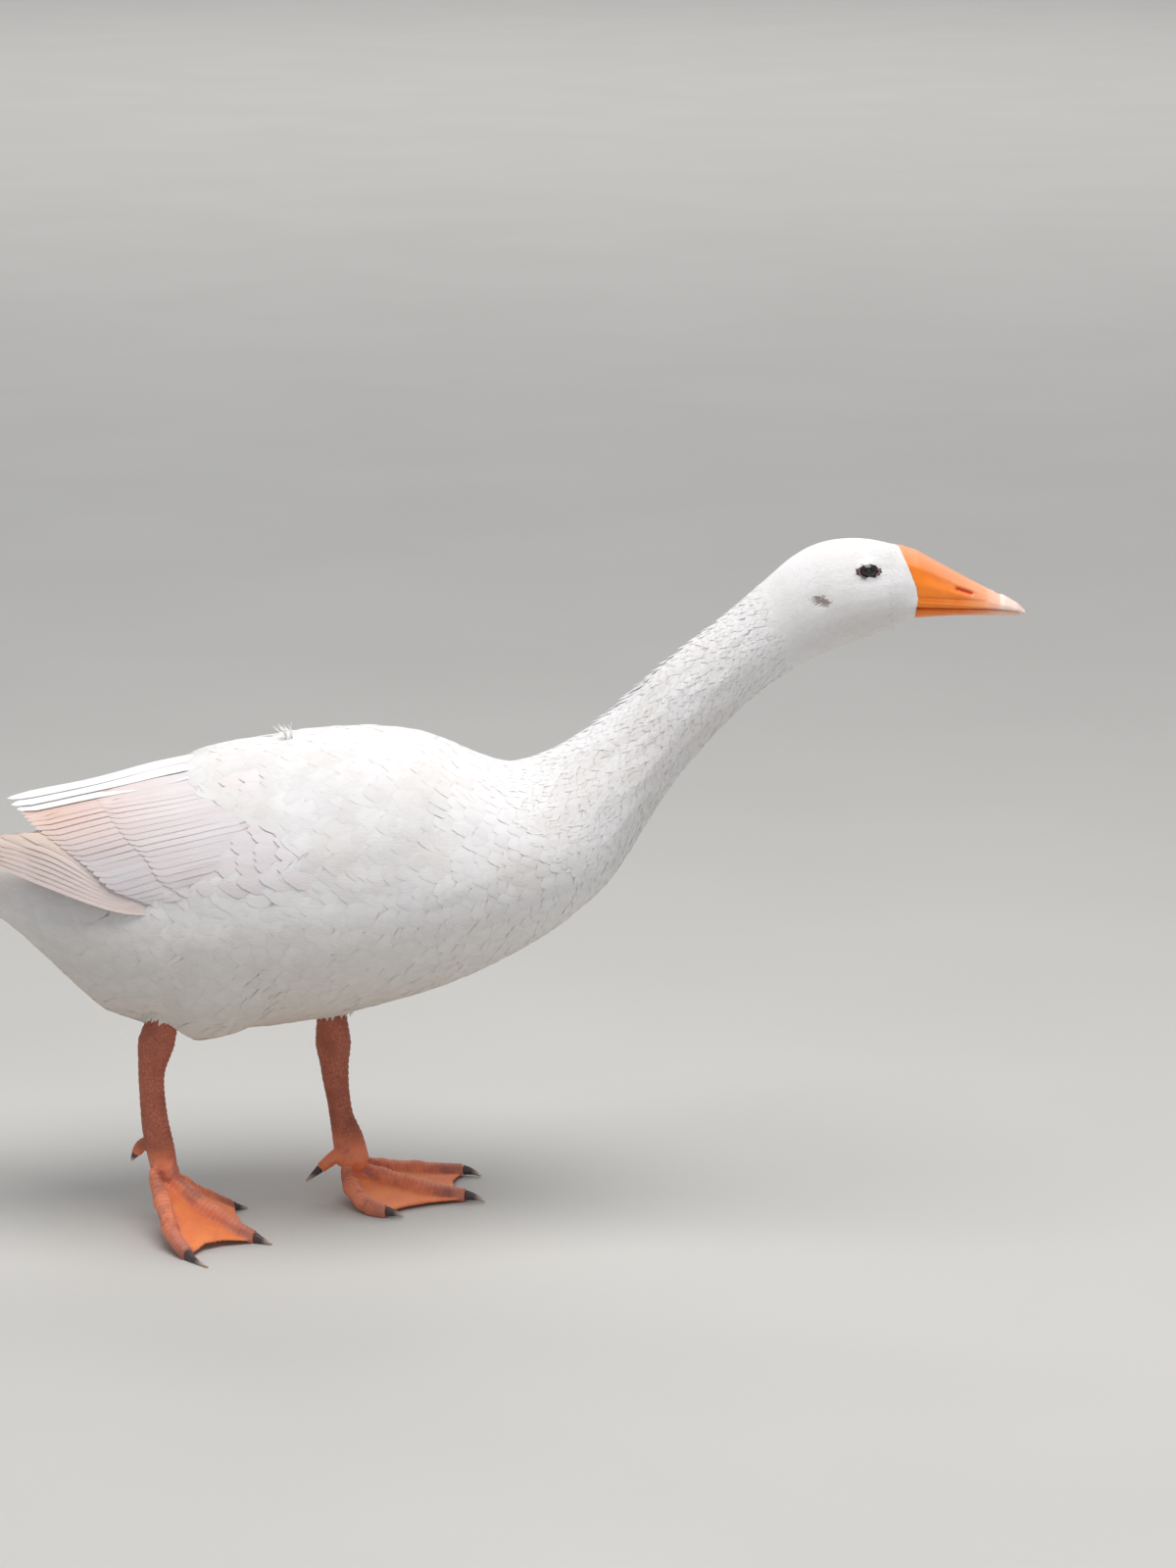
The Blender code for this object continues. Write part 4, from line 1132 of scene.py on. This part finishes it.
pieces = wing_row("secondaries", SECONDARY, dict.fromkeys(SIDES, sunk(fold)), 0.0125, 0.0002, 0.00015,
                  rng.uniform(0.35, 0.80, SECONDARIES), FLIGHT)
for side, piece in pieces.items():
    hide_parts("wing_" + side)
greater = sunk(smoothed(fold[:, :GREATER_LENGTH] + (0.0, 0.0007, 0.0)), 0.0045, 0.6)
wing_row("greater_coverts", SECONDARY, dict.fromkeys(SIDES, greater), 0.0115, 0.0002, 0.00015,
         rng.uniform(0.45, 0.85, SECONDARIES), FLIGHT)

# %% Tertials along the back
TERTIALS = np.array([           # x, distance off the middle, z, from root to tip
    [(-0.145, 0.0330, 0.3100), (-0.190, 0.0290, 0.2995), (-0.237, 0.0240, 0.2885), (-0.2870, 0.0205, 0.2770)],
    [(-0.145, 0.0230, 0.3120), (-0.190, 0.0200, 0.3028), (-0.238, 0.0160, 0.2905), (-0.2915, 0.0140, 0.2785)],
    [(-0.145, 0.0085, 0.3135), (-0.190, 0.0072, 0.3052), (-0.240, 0.0055, 0.2918), (-0.2950, 0.0042, 0.2805)],
])
TERTIAL_WIDTHS = np.array([[0.019], [0.018], [0.017]])
RIGHT_ON_TOP = (0.0, 0.0, 0.0008)        # the right wing's last feathers lie over the left one's
tertials = sunk(smoothed(TERTIALS), 0.0030, 0.4)
wing_row("tertials", SECONDARY, {"right": tertials + RIGHT_ON_TOP, "left": tertials}, TERTIAL_WIDTHS,
         0.0007, 0.0009, (0.8, 0.95, 1.0), WHITE)

# %% [markdown]
# ## Coverts
# The smaller feathers over the wing's front follow its surface. Free lines for them would be
# a lot of drawing, so they are laid on a shell of the wing in the same way as the body's own
# feathers, and only the line of the rearmost tips is drawn.

# %% A shell of the folded wing
WING_LINE = [                   # x, z and lean in degrees
    (0.0465, 0.2635, 41), (0.0110, 0.2545, 28), (-0.0345, 0.2435, 17), (-0.0950, 0.2305, 9),
    (-0.1620, 0.2195, 3), (-0.1960, 0.2155, 0), (-0.2160, 0.2430, 0), (-0.2360, 0.2600, 0),
    (-0.2560, 0.2680, 0), (-0.2760, 0.2725, 0), (-0.2955, 0.2745, 0),
]
wing = spine_shell(WING_LINE, 150, 128)
wing.set(blurred(wing.cast(("wing_right", "wing_left"), RAY_REACH, whole=False), 2))


def on_wing(points):
    """Shares on the wing's shell of landmarks given as x, distance off the middle and z."""
    p = np.array(points, float)
    shares = wing.find(np.stack([p[:, 0], MIDDLE - p[:, 1], p[:, 2]], 1))
    shares[:, 1] = (shares[:, 1] + 0.5) % 1 - 0.5
    return shares


def covert_row(name, root, tip, tone):
    """Lays a row on the right wing and its mirror image on the left, as one piece each."""
    for side, sign in SIDES.items():
        flip = np.array((1, sign))
        placed, faces, uv = laid(wing, COVERT, root * flip, tip * flip, width=0.0200, thick=0.0002,
                                 under=0.0015, over=0.0005, roll=0.0001 * sign, droop=0.0003)
        joined(f"{name}_{side}", placed, faces, uv, tone[:, None], FLIGHT)


print("wing shell", wing.co.shape[:2])

# %% Median coverts in five rows
COVERT_ROWS = 5
COVERT_TIPS = np.array([        # tips of the rearmost row: x, distance off the middle, z
    (-0.1660, 0.0870, 0.2420), (-0.1700, 0.0800, 0.2600), (-0.1740, 0.0700, 0.2770),
    (-0.1800, 0.0470, 0.2960),
])
NEXT_ROW = np.array((0.0135, 0.0, 0.0015))         # from a row's tips to those of the row in front
COVERT_REACH = (0.036, 0.0, 0.006)                 # from a tip to its root
for row in range(COVERT_ROWS):
    count = 11 + row % 2
    tips = between(COVERT_TIPS + NEXT_ROW * row, count)
    tips[:, 0] += rng.uniform(-0.0012, 0.0012, count)
    tips[:, 2] += rng.uniform(-0.0006, 0.0006, count)
    # painted shade: the further back the row and the lower the covert, the darker its tone
    tone = rng.uniform(0.75, 1, count) - 0.45 * (1 - row / COVERT_ROWS) * np.linspace(1, 0, count)
    covert_row(f"median_coverts_{row + 1}", on_wing(tips + COVERT_REACH), on_wing(tips), tone)

# %% [markdown]
# ## Primaries and tail
# The long flight feathers stand in the air behind the wing and the rump, so no shell can
# carry them. The eight primaries of a wing are slid over each other along one drawn line,
# which also says how high their bundle is. The tail is a fan of sixteen, the middle pair on
# top, and broad feathers of the lower back close the hollow between them.

# %% Primaries
PRIMARY_LINE = [                # middle of the bundle: x, distance off the middle, z, half height
    (-0.1700, 0.0790, 0.2290, 0.0040), (-0.1880, 0.0800, 0.2300, 0.0050), (-0.2050, 0.0780, 0.2320, 0.0080),
    (-0.2230, 0.0725, 0.2370, 0.0115), (-0.2430, 0.0655, 0.2460, 0.0155), (-0.2600, 0.0580, 0.2520, 0.0170),
    (-0.2770, 0.0495, 0.2555, 0.0155), (-0.2960, 0.0410, 0.2585, 0.0120), (-0.3150, 0.0310, 0.2605, 0.0085),
    (-0.3330, 0.0210, 0.2620, 0.0055), (-0.3460, 0.0135, 0.2630, 0.0030),
]
PRIMARY_TIPS = (-0.3450, -0.3440, -0.3390, -0.3310, -0.3210, -0.3090, -0.2960, -0.2830)
PRIMARY_HOLD = {                # a side's height share and how far its tips rest inward and lower
    "right": (1.0, 0.0, 0.0),
    "left": (0.55, 0.010, 0.014),
}
# painted shade along the primaries' lower edges, strong on the right and faint on the left
PRIMARY_PAINTED_EDGE_SHADE = {"right": 0.55, "left": 0.05}
FREE_X = -0.215                # behind this the primaries come free of the wing
primary_line = smooth_line(PRIMARY_LINE, 80, 3)


def folded_tips(height, inward, lower):
    """Lines of the primaries from the lowest to the highest, in a bundle that tapers."""
    lines = []
    even = np.linspace(0, 1, len(primary_line))
    for place, tip_x in zip(np.linspace(-0.70, 0.70, len(PRIMARY_TIPS)), PRIMARY_TIPS):
        share = np.linspace(0, float(np.interp(-tip_x, -primary_line[:, 0], even)), LINE_STEPS)
        x, off, z, high = (np.interp(share, even, column) for column in primary_line.T)
        free = np.clip((FREE_X - x) / 0.05, 0, 1)
        high = high * (1 - (1 - height) * free)
        off = off - 0.30 * place * high - inward * free
        lines.append(np.stack([x, off, z + place * high - lower * free], 1))
    return np.array(lines)


primaries = {side: folded_tips(*hold) for side, hold in PRIMARY_HOLD.items()}
# painted shade: the tones rise from the lowest primary to the highest, so the bundle darkens downwards
pieces = wing_row("primary_feathers", QUILL, primaries, 0.0115, 0.0005, 0.0013,
                  np.linspace(0.72, 0.98, len(PRIMARY_TIPS)), PEACH, painted_edge_shade=PRIMARY_PAINTED_EDGE_SHADE)
for side, piece in pieces.items():
    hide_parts("primaries_" + side)

# %% Feathers of the lower back, which close the hollow under the wings' tips
LOWER_BACK_COUNT = 12          # feathers in a row
LOWER_BACK = (                  # root x, root z, tip x, tip z, half width of the row
    (-0.230, 0.2720, -0.292, 0.2500, 0.034), (-0.215, 0.2820, -0.280, 0.2570, 0.037),
    (-0.205, 0.2900, -0.272, 0.2655, 0.040), (-0.190, 0.2960, -0.262, 0.2735, 0.041),
)
lines = []
for root_x, root_z, tip_x, tip_z, half in LOWER_BACK:
    for off in np.linspace(-1, 1, LOWER_BACK_COUNT) + rng.uniform(-0.04, 0.04, LOWER_BACK_COUNT):
        share = np.linspace(0, 1, 10)
        lines.append(np.stack([root_x + (tip_x - root_x + 0.010 * off**2) * share,
                               MIDDLE + off * half * (1.08 - 0.16 * share),
                               root_z + (tip_z - root_z) * share - 0.014 * off**2], 1))
lines = np.array(lines)
placed, faces = plumes(COVERT, lines, (0, 1, 0), 0.0185, 0.0003, 0.0003)
uv = patches(COVERT, body.find(lines[:, 0]))
joined("lower_back_feathers", placed, faces, uv, rng.uniform(0.4, 1, (len(lines), 1)), WHITE)

# %% The tail fan
TAIL_COUNT = 16
TAIL_ROOT_X, TAIL_END_X = -0.2900, -0.3645
TAIL_ROOT_Z, TAIL_END_Z = 0.2300, 0.2360
fan = np.linspace(-1, 1, TAIL_COUNT)
order = np.arange(TAIL_COUNT)[:, None] / TAIL_COUNT
root = np.stack([np.full(TAIL_COUNT, TAIL_ROOT_X), MIDDLE + 0.017 * fan, TAIL_ROOT_Z - 0.002 * fan**2], 1)
end = np.stack([TAIL_END_X + 0.012 * fan**2, MIDDLE + 0.0300 * fan, TAIL_END_Z - 0.0015 * np.abs(fan)], 1)
share = np.linspace(0, 1, 12)[None, :, None]
lines = root[:, None] * (1 - share) + end[:, None] * share
lines[..., 2] += 0.0035 * np.sin(math.pi * share[..., 0]) - 0.0006 * order
lines[..., 2] += 0.0018 * (1 - np.abs(fan))[:, None]
placed, faces = plumes(QUILL, lines, (0, 1, 0), 0.0150, 0.0008)
uv = patches(QUILL, np.stack([np.full(TAIL_COUNT, 0.97), fan * 0.2 + 0.5], 1))
tone = rng.uniform(0.6, 1, (TAIL_COUNT, 1))
tail_fan = joined("tail_feathers", placed, faces, uv, tone, WHITE)
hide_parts("tail")

# %% [markdown]
# ## Legs and webbed feet
# A goose's legs are bare from just above the hock: leathery skin in small plates, with
# webs between the three front toes. The solid's faceted legs are melted into one even mesh,
# smoothed, and then given knuckles and cross plates by moving its points in and out. Each
# point is marked as shank, toe or web on the way, because the colours follow those marks.

# %% Melted and smoothed copies of solids
def melted(name, nodes, voxel, smoothing, balls=()):
    """The named solids as one smooth closed mesh of even small faces, with balls to fill gaps."""
    bm = bmesh.new()
    for node in nodes:
        bm.from_mesh(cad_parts[node].data)
    for place, size in balls:
        bmesh.ops.create_icosphere(bm, subdivisions=3, radius=size, matrix=Matrix.Translation(place))
    bmesh.ops.remove_doubles(bm, verts=bm.verts, dist=1e-6)
    mesh = bpy.data.meshes.new(name)
    bm.to_mesh(mesh)
    bm.free()
    piece = bpy.data.objects.new(name, mesh)
    scene.collection.objects.link(piece)
    remesh = piece.modifiers.new("even", "REMESH")
    remesh.mode, remesh.voxel_size = "VOXEL", voxel
    smooth = piece.modifiers.new("smooth", "SMOOTH")
    smooth.iterations, smooth.factor = smoothing, 0.5
    graph = bpy.context.evaluated_depsgraph_get()
    even = bpy.data.meshes.new_from_object(piece.evaluated_get(graph))
    bpy.data.objects.remove(piece)
    even.name = name
    even.materials.clear()
    even.shade_smooth()
    return even


LEG_PARTS = ("shank", "foot", "hind_toe")
print("a leg is melted from", LEG_PARTS)

# %% Points and marks
def arrays(mesh):
    """A mesh's points and their normals."""
    co = np.zeros(len(mesh.vertices) * 3, np.float32)
    normal = np.zeros_like(co)
    mesh.vertices.foreach_get("co", co)
    mesh.vertex_normals.foreach_get("vector", normal)
    return co.reshape(-1, 3).astype(float), normal.reshape(-1, 3).astype(float)


def mark_points(mesh, **marks):
    """Writes named values on a mesh's points, for its material to read."""
    for mark, value in marks.items():
        mesh.attributes.new(mark, "FLOAT", "POINT").data.foreach_set("value", value.astype(np.float32))


print("the skin has", len(arrays(skin.data)[0]), "points")

# %% Centre lines of toes and shanks
TOES = {                        # centre lines from the toe joint to the claw
    "right": [[(-0.1960, -0.0300, 0.0380), (-0.1825, -0.0245, 0.0265), (-0.1720, -0.0170, 0.0175),
               (-0.1620, -0.0080, 0.0100), (-0.1530, 0.0005, 0.0034)],
              [(-0.1990, -0.0385, 0.0390), (-0.1830, -0.0440, 0.0290), (-0.1675, -0.0530, 0.0190),
               (-0.1500, -0.0615, 0.0102), (-0.1335, -0.0690, 0.0035)],
              [(-0.2010, -0.0465, 0.0380), (-0.1950, -0.0580, 0.0285), (-0.1905, -0.0715, 0.0195),
               (-0.1850, -0.0880, 0.0110), (-0.1745, -0.1040, 0.0034)]],
    "left": [[(-0.0790, 0.0265, 0.0205), (-0.0750, 0.0140, 0.0140), (-0.0685, 0.0020, 0.0086),
              (-0.0595, -0.0095, 0.0052), (-0.0500, -0.0140, 0.0042)],
             [(-0.0790, 0.0345, 0.0210), (-0.0610, 0.0355, 0.0145), (-0.0400, 0.0345, 0.0090),
              (-0.0180, 0.0270, 0.0053), (0.0015, 0.0210, 0.0044)],
             [(-0.0780, 0.0425, 0.0205), (-0.0600, 0.0530, 0.0145), (-0.0420, 0.0660, 0.0097),
              (-0.0210, 0.0760, 0.0053), (-0.0020, 0.0785, 0.0044)]],
}
SHANKS = {                      # from the hock to the toe joint
    "right": [(-0.1850, -0.0520, 0.1620), (-0.1968, -0.0485, 0.1290), (-0.2008, -0.0450, 0.1042),
              (-0.1987, -0.0412, 0.0690), (-0.1942, -0.0393, 0.0420)],
    "left": [(-0.0880, 0.0495, 0.1360), (-0.0871, 0.0462, 0.1030), (-0.0856, 0.0430, 0.0790),
             (-0.0815, 0.0390, 0.0530), (-0.0750, 0.0350, 0.0300)],
}


def on_bird(points):
    """Places given from the bird's own middle plane, as places in the frame."""
    return np.array(points) + (0, MIDDLE, 0)


print("toes", {side: len(lines) for side, lines in TOES.items()})

# %% Measures along toes and shanks
def along_line(co, line):
    """For each point its distance from a line and the metres run along it, and the line's length."""
    best, run, start = np.full(len(co), 1.0), np.zeros(len(co)), 0.0
    for a, b in zip(line, line[1:]):
        size = np.linalg.norm(b - a)
        share = np.clip((co - a) @ (b - a) / size**2, 0, 1)
        far = np.linalg.norm(co - a - share[:, None] * (b - a), axis=1)
        nearer = far < best
        best[nearer], run[nearer] = far[nearer], (start + share * size)[nearer]
        start += size
    return best, run, start


def nearest_toe(co, side):
    """For each point its distance from the nearest toe, and the metres and the share run along it."""
    far, run, share = np.full(len(co), 1.0), np.zeros(len(co)), np.zeros(len(co))
    for toe in TOES[side]:
        d, metres, length = along_line(co, smooth_line(on_bird(toe), 40, 3))
        near = d < far
        far[near], run[near], share[near] = d[near], metres[near], metres[near] / length
    return far, run, share


hock = on_bird(SHANKS["left"][:1])
print("from the left hock to its toes", np.round(nearest_toe(hock, "left")[0][0], 3), "m")

# %% Plates and scales of the shank
SHANK_PLATE = 0.0042           # length of one cross plate on the front of the shank
SHANK_SCALE = 0.0028           # and of the small scales behind
GROOVE_SHARE = 0.16            # half width of a groove as a share of its plate


def groove(run, pitch):
    """1 in the grooves that part a row of plates, 0 on the plates."""
    return bell((run / pitch) % 1 - 0.5, GROOVE_SHARE)


def shank_relief(co, normal, shin):
    """The grooves between the front's plates, and the small scales behind, from -1 to 1."""
    run = along_line(co, shin)[1]
    front = np.clip(normal[:, 0] * 1.6 + 0.1, 0, 1)
    turn = np.arctan2(co[:, 1] - np.interp(co[:, 2], shin[::-1, 2], shin[::-1, 1]),
                      co[:, 0] - np.interp(co[:, 2], shin[::-1, 2], shin[::-1, 0]))
    row = run / SHANK_SCALE
    small = np.cos(turn * 9 + np.pi * np.floor(row)) * np.cos(2 * np.pi * row)
    return front * groove(run, SHANK_PLATE), (1 - front) * small


print("plates of", SHANK_PLATE, "and scales of", SHANK_SCALE, "m")

# %% Round fillings of a foot
WEB_CORNER = 0.0042            # radius of the skin that fills a corner between two toes' roots
TOE_JOINT = 0.0082             # radius of the round joint where the toes meet the shank
JOINT_OUT = (0.0042, 0, -0.0012)


def leg_balls(side):
    """Round fillings of the ankle and of the corners between the toes: places and radii."""
    starts = on_bird([toe[0] for toe in TOES[side]])
    joint = (starts.mean(0) + on_bird(SHANKS[side][-1])) / 2 + JOINT_OUT
    corners = (starts[:-1] + starts[1:]) / 2 + (0.002, 0, 0)
    return [(joint, TOE_JOINT), *((corner, WEB_CORNER) for corner in corners)]


print("round fillings of a foot", len(leg_balls("right")))

# %% One leg's surface
LEG_VOXEL, LEG_SMOOTHING = 0.0008, 8
KNUCKLES = (0.30, 0.62)        # shares of a toe's length
KNUCKLE_SHARE = 0.055          # half width of a knuckle as a share of the toe
TOE_PLATE = 0.0033             # length of one cross plate on a toe


def leg(side):
    """A leg with knuckles, plates and folds, and with marks for its colours."""
    nodes = [f"{part}_{side}" for part in LEG_PARTS]
    mesh = melted("leg_" + side, nodes, LEG_VOXEL, LEG_SMOOTHING, leg_balls(side))
    co, normal = arrays(mesh)
    far, run, share = nearest_toe(co, side)
    shin = smooth_line(on_bird(SHANKS[side]), 40, 3)
    foot_top = shin[-1, 2]
    shank = np.clip((co[:, 2] - foot_top - 0.004) / 0.012, 0, 1)
    ankle = np.clip((co[:, 2] - foot_top + 0.010) / 0.008, 0, 1)
    toe = np.maximum(np.clip((0.0085 - far) / 0.0030, 0, 1), ankle) * (1 - shank)
    toe_grooves = toe * np.clip(normal[:, 2] * 1.5, 0, 1) * groove(run, TOE_PLATE)
    plates, scales = shank_relief(co, normal, shin)
    shank_grooves = shank * plates
    web_folds = (1 - toe) * (1 - shank) * np.sin(share * 60 + 9 * np.sin(far * 400))
    push = 0.0009 * toe * sum(bell(share - knuckle, KNUCKLE_SHARE) for knuckle in KNUCKLES)
    push -= 0.00026 * toe_grooves
    push -= 0.0004 * shank_grooves
    push += 0.00022 * shank * scales
    push += 0.00016 * web_folds
    mesh.vertices.foreach_set("co", (co + normal * push[:, None]).ravel().astype(np.float32))
    mesh.update()
    mark_points(mesh, shank=shank, toe=toe, distal=np.clip((share - KNUCKLES[1]) / 0.30, 0, 1) * toe,
                crease=np.clip(toe_grooves + shank_grooves, 0, 1))
    return mesh


print("a toe's cross plates are", TOE_PLATE, "m long")

# %% [markdown]
# ## The colours of a leg
# The shank is brick red with many-sided scales, the toes are pink and mottled, darker
# towards the claws, and the webs are bright orange. One material mixes the three by the
# marks on the leg's points, so that they run into each other without a seam.

# %% Leg skin
leg_skin = Finish("leg_skin", 0.55, Specular_IOR_Level=0.4)
patchy = leg_skin.between(leg_skin.noise(90, 4), 0.35, 0.65)
mottle = leg_skin.times(leg_skin.between(leg_skin.noise(85, 4), 0.50, 0.64), 0.55)
scales = leg_skin.scales(420, 0.12)
shank_tone = leg_skin.mix(patchy, (0.52, 0.160, 0.092), (0.38, 0.105, 0.062))
shank_tone = leg_skin.mix(scales, (0.34, 0.088, 0.052), shank_tone)
web_tone = leg_skin.mix(patchy, (0.98, 0.290, 0.085), (0.90, 0.225, 0.080))
toe_tone = leg_skin.mix(patchy, (0.95, 0.310, 0.165), (0.84, 0.235, 0.120))
toe_tone = leg_skin.mix(mottle, toe_tone, (0.26, 0.110, 0.110))
toe_tone = leg_skin.mix(leg_skin.times(leg_skin.attribute("distal"), 0.55), toe_tone, (0.30, 0.130, 0.120))
foot_tone = leg_skin.mix(leg_skin.attribute("toe"), web_tone, toe_tone)
whole_tone = leg_skin.mix(leg_skin.attribute("shank"), foot_tone, shank_tone)
crease = leg_skin.times(leg_skin.attribute("crease"), 0.22)
leg_skin.colour(leg_skin.mix(crease, whole_tone, (0.24, 0.070, 0.050)))
leg_skin.bump(scales, 0.0003, 0.4)
for side in SIDES:
    piece = new_piece("leg_" + side, leg(side), leg_skin.material)
    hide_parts(*[f"{part}_{side}" for part in LEG_PARTS])
    print(piece.name, len(piece.data.polygons), "faces")

# %% [markdown]
# ## Claws
# A goose's claws are short horn, dark at the root and worn pale at the tip. They stay eight
# pieces of their own, melted from the solid's claws on a finer grid, and each is marked
# from its root to its tip for the change of colour.

# %% Eight claws
FRONT_TOES = ("inner", "middle", "outer")
CLAW_VOXEL, CLAW_SMOOTHING = 0.00045, 3
horn = Finish("claw_horn", 0.35)
horn.colour(horn.mix(horn.attribute("tip"), (0.075, 0.050, 0.050), (0.66, 0.54, 0.44)))
horn.bump(horn.noise(900, 2), 0.0002, 0.3)


def claw_root(toe, side):
    """Where a claw starts: at its toe's end, or for the hind toe on the side of the shank."""
    if toe == "hind":
        return on_bird(SHANKS[side][2])
    return on_bird(TOES[side][FRONT_TOES.index(toe)][-1])


for side in SIDES:
    for toe in (*FRONT_TOES, "hind"):
        node = f"claw_{toe}_{side}"
        mesh = melted("horn_" + node, [node], CLAW_VOXEL, CLAW_SMOOTHING)
        far = np.linalg.norm(arrays(mesh)[0] - claw_root(toe, side), axis=1)
        mark_points(mesh, tip=np.clip((far - far.min()) / (far.max() - far.min()) * 2.2 - 1.0, 0, 1))
        piece = new_piece(mesh.name, mesh, horn.material)
        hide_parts(node)
        print(piece.name, len(mesh.polygons), "faces")

# %% [markdown]
# ## Small feathers round the legs, and one loose tuft
# Where a bare leg leaves the body, short feathers hang round it like a ragged garter. The
# body's shell doesn't reach down there, so each of them follows a free line, in four rings
# round a short cone. One tuft of down has worked loose on the back, as it does on any goose.

# %% Garter feathers round the tops of the legs
GARTER_ROWS, GARTER_COUNT = 4, 20
GARTER_STEPS = 30              # steps down the cone, from its top ring to its lowest
ROW_STEPS = 3                  # steps from one row's roots to the next
FEATHER_STEPS = 17             # steps that one feather covers
GARTERS = {                     # rings from the top: x, distance off the middle, z, half depth, half width
    "right": [(-0.1820, 0.0530, 0.1680, 0.0215, 0.0185), (-0.1880, 0.0512, 0.1530, 0.0165, 0.0145),
              (-0.1930, 0.0498, 0.1410, 0.0126, 0.0108)],
    "left": [(-0.0882, -0.0496, 0.1430, 0.0190, 0.0170), (-0.0880, -0.0489, 0.1290, 0.0150, 0.0135),
             (-0.0878, -0.0480, 0.1180, 0.0124, 0.0108)],
}
GARTER_BLADE = blade(5, 3, 0.75, 0.45, 0.18)
for side in SIDES:
    path = smooth_line(GARTERS[side], GARTER_STEPS, 3)
    lines, widths = [], []
    for row in range(GARTER_ROWS):
        for k in range(GARTER_COUNT):
            turn = 2 * math.pi * (k + 0.5 * (row % 2) + rng.uniform(-0.2, 0.2)) / GARTER_COUNT
            first = ROW_STEPS * row + rng.uniform(-1, 1)
            steps = np.linspace(first, first + FEATHER_STEPS, 8)
            x, off, z, deep, wide = (np.interp(steps, np.arange(GARTER_STEPS), column) for column in path.T)
            flare = np.linspace(-0.0010, 0.0006 + rng.uniform(0, 0.0008), 8)
            lines.append(np.stack([x + (deep + flare) * math.cos(turn),
                                   MIDDLE - off + (wide + flare) * math.sin(turn), z], 1))
            widths.append((-math.sin(turn), math.cos(turn), 0))
    lines = np.array(lines)
    placed, faces = plumes(GARTER_BLADE, lines, np.array(widths)[:, None], 0.0062, 0.0003)
    n = len(lines)
    spots = body.find(lines[:, 0]) + np.stack([np.arange(n) % 4, np.arange(n) // 4 % 5], 1) * PATCH
    uv = patches(GARTER_BLADE, spots)
    joined("garter_feathers_" + side, placed, faces, uv, rng.uniform(0.2, 0.9, (n, 1)), WHITE)

# %% A loose tuft on the back
TUFT_AT = (-0.1105, MIDDLE - 0.010, 0.3215)
STRANDS = 15
start = np.stack([rng.uniform(-0.003, 0.003, STRANDS), rng.uniform(-0.003, 0.003, STRANDS),
                  np.zeros(STRANDS)], 1) + TUFT_AT
reach = np.stack([rng.uniform(-0.011, 0.001, STRANDS), rng.uniform(-0.006, 0.006, STRANDS),
                  rng.uniform(0.0060, 0.0115, STRANDS)], 1)
share = np.linspace(0, 1, 8)[None, :, None]
lines = start[:, None] + reach[:, None] * share ** np.array((1.3, 1.0, 0.7))
placed, faces = plumes(NECK_BLADE, lines, (0.5, 1, 0), 0.0009, 0.0002)
spots = body.find(start) + np.stack([np.arange(STRANDS) % 3, np.arange(STRANDS) // 3], 1) * PATCH
uv = patches(NECK_BLADE, spots)
joined("loose_tuft", placed, faces, uv, rng.uniform(0.8, 1, (STRANDS, 1)), WHITE)

# %% [markdown]
# ## The bird's size
# The dressed bird has to stay as big as the solid one.

# %% The dressed bird
print("the bird is dressed")
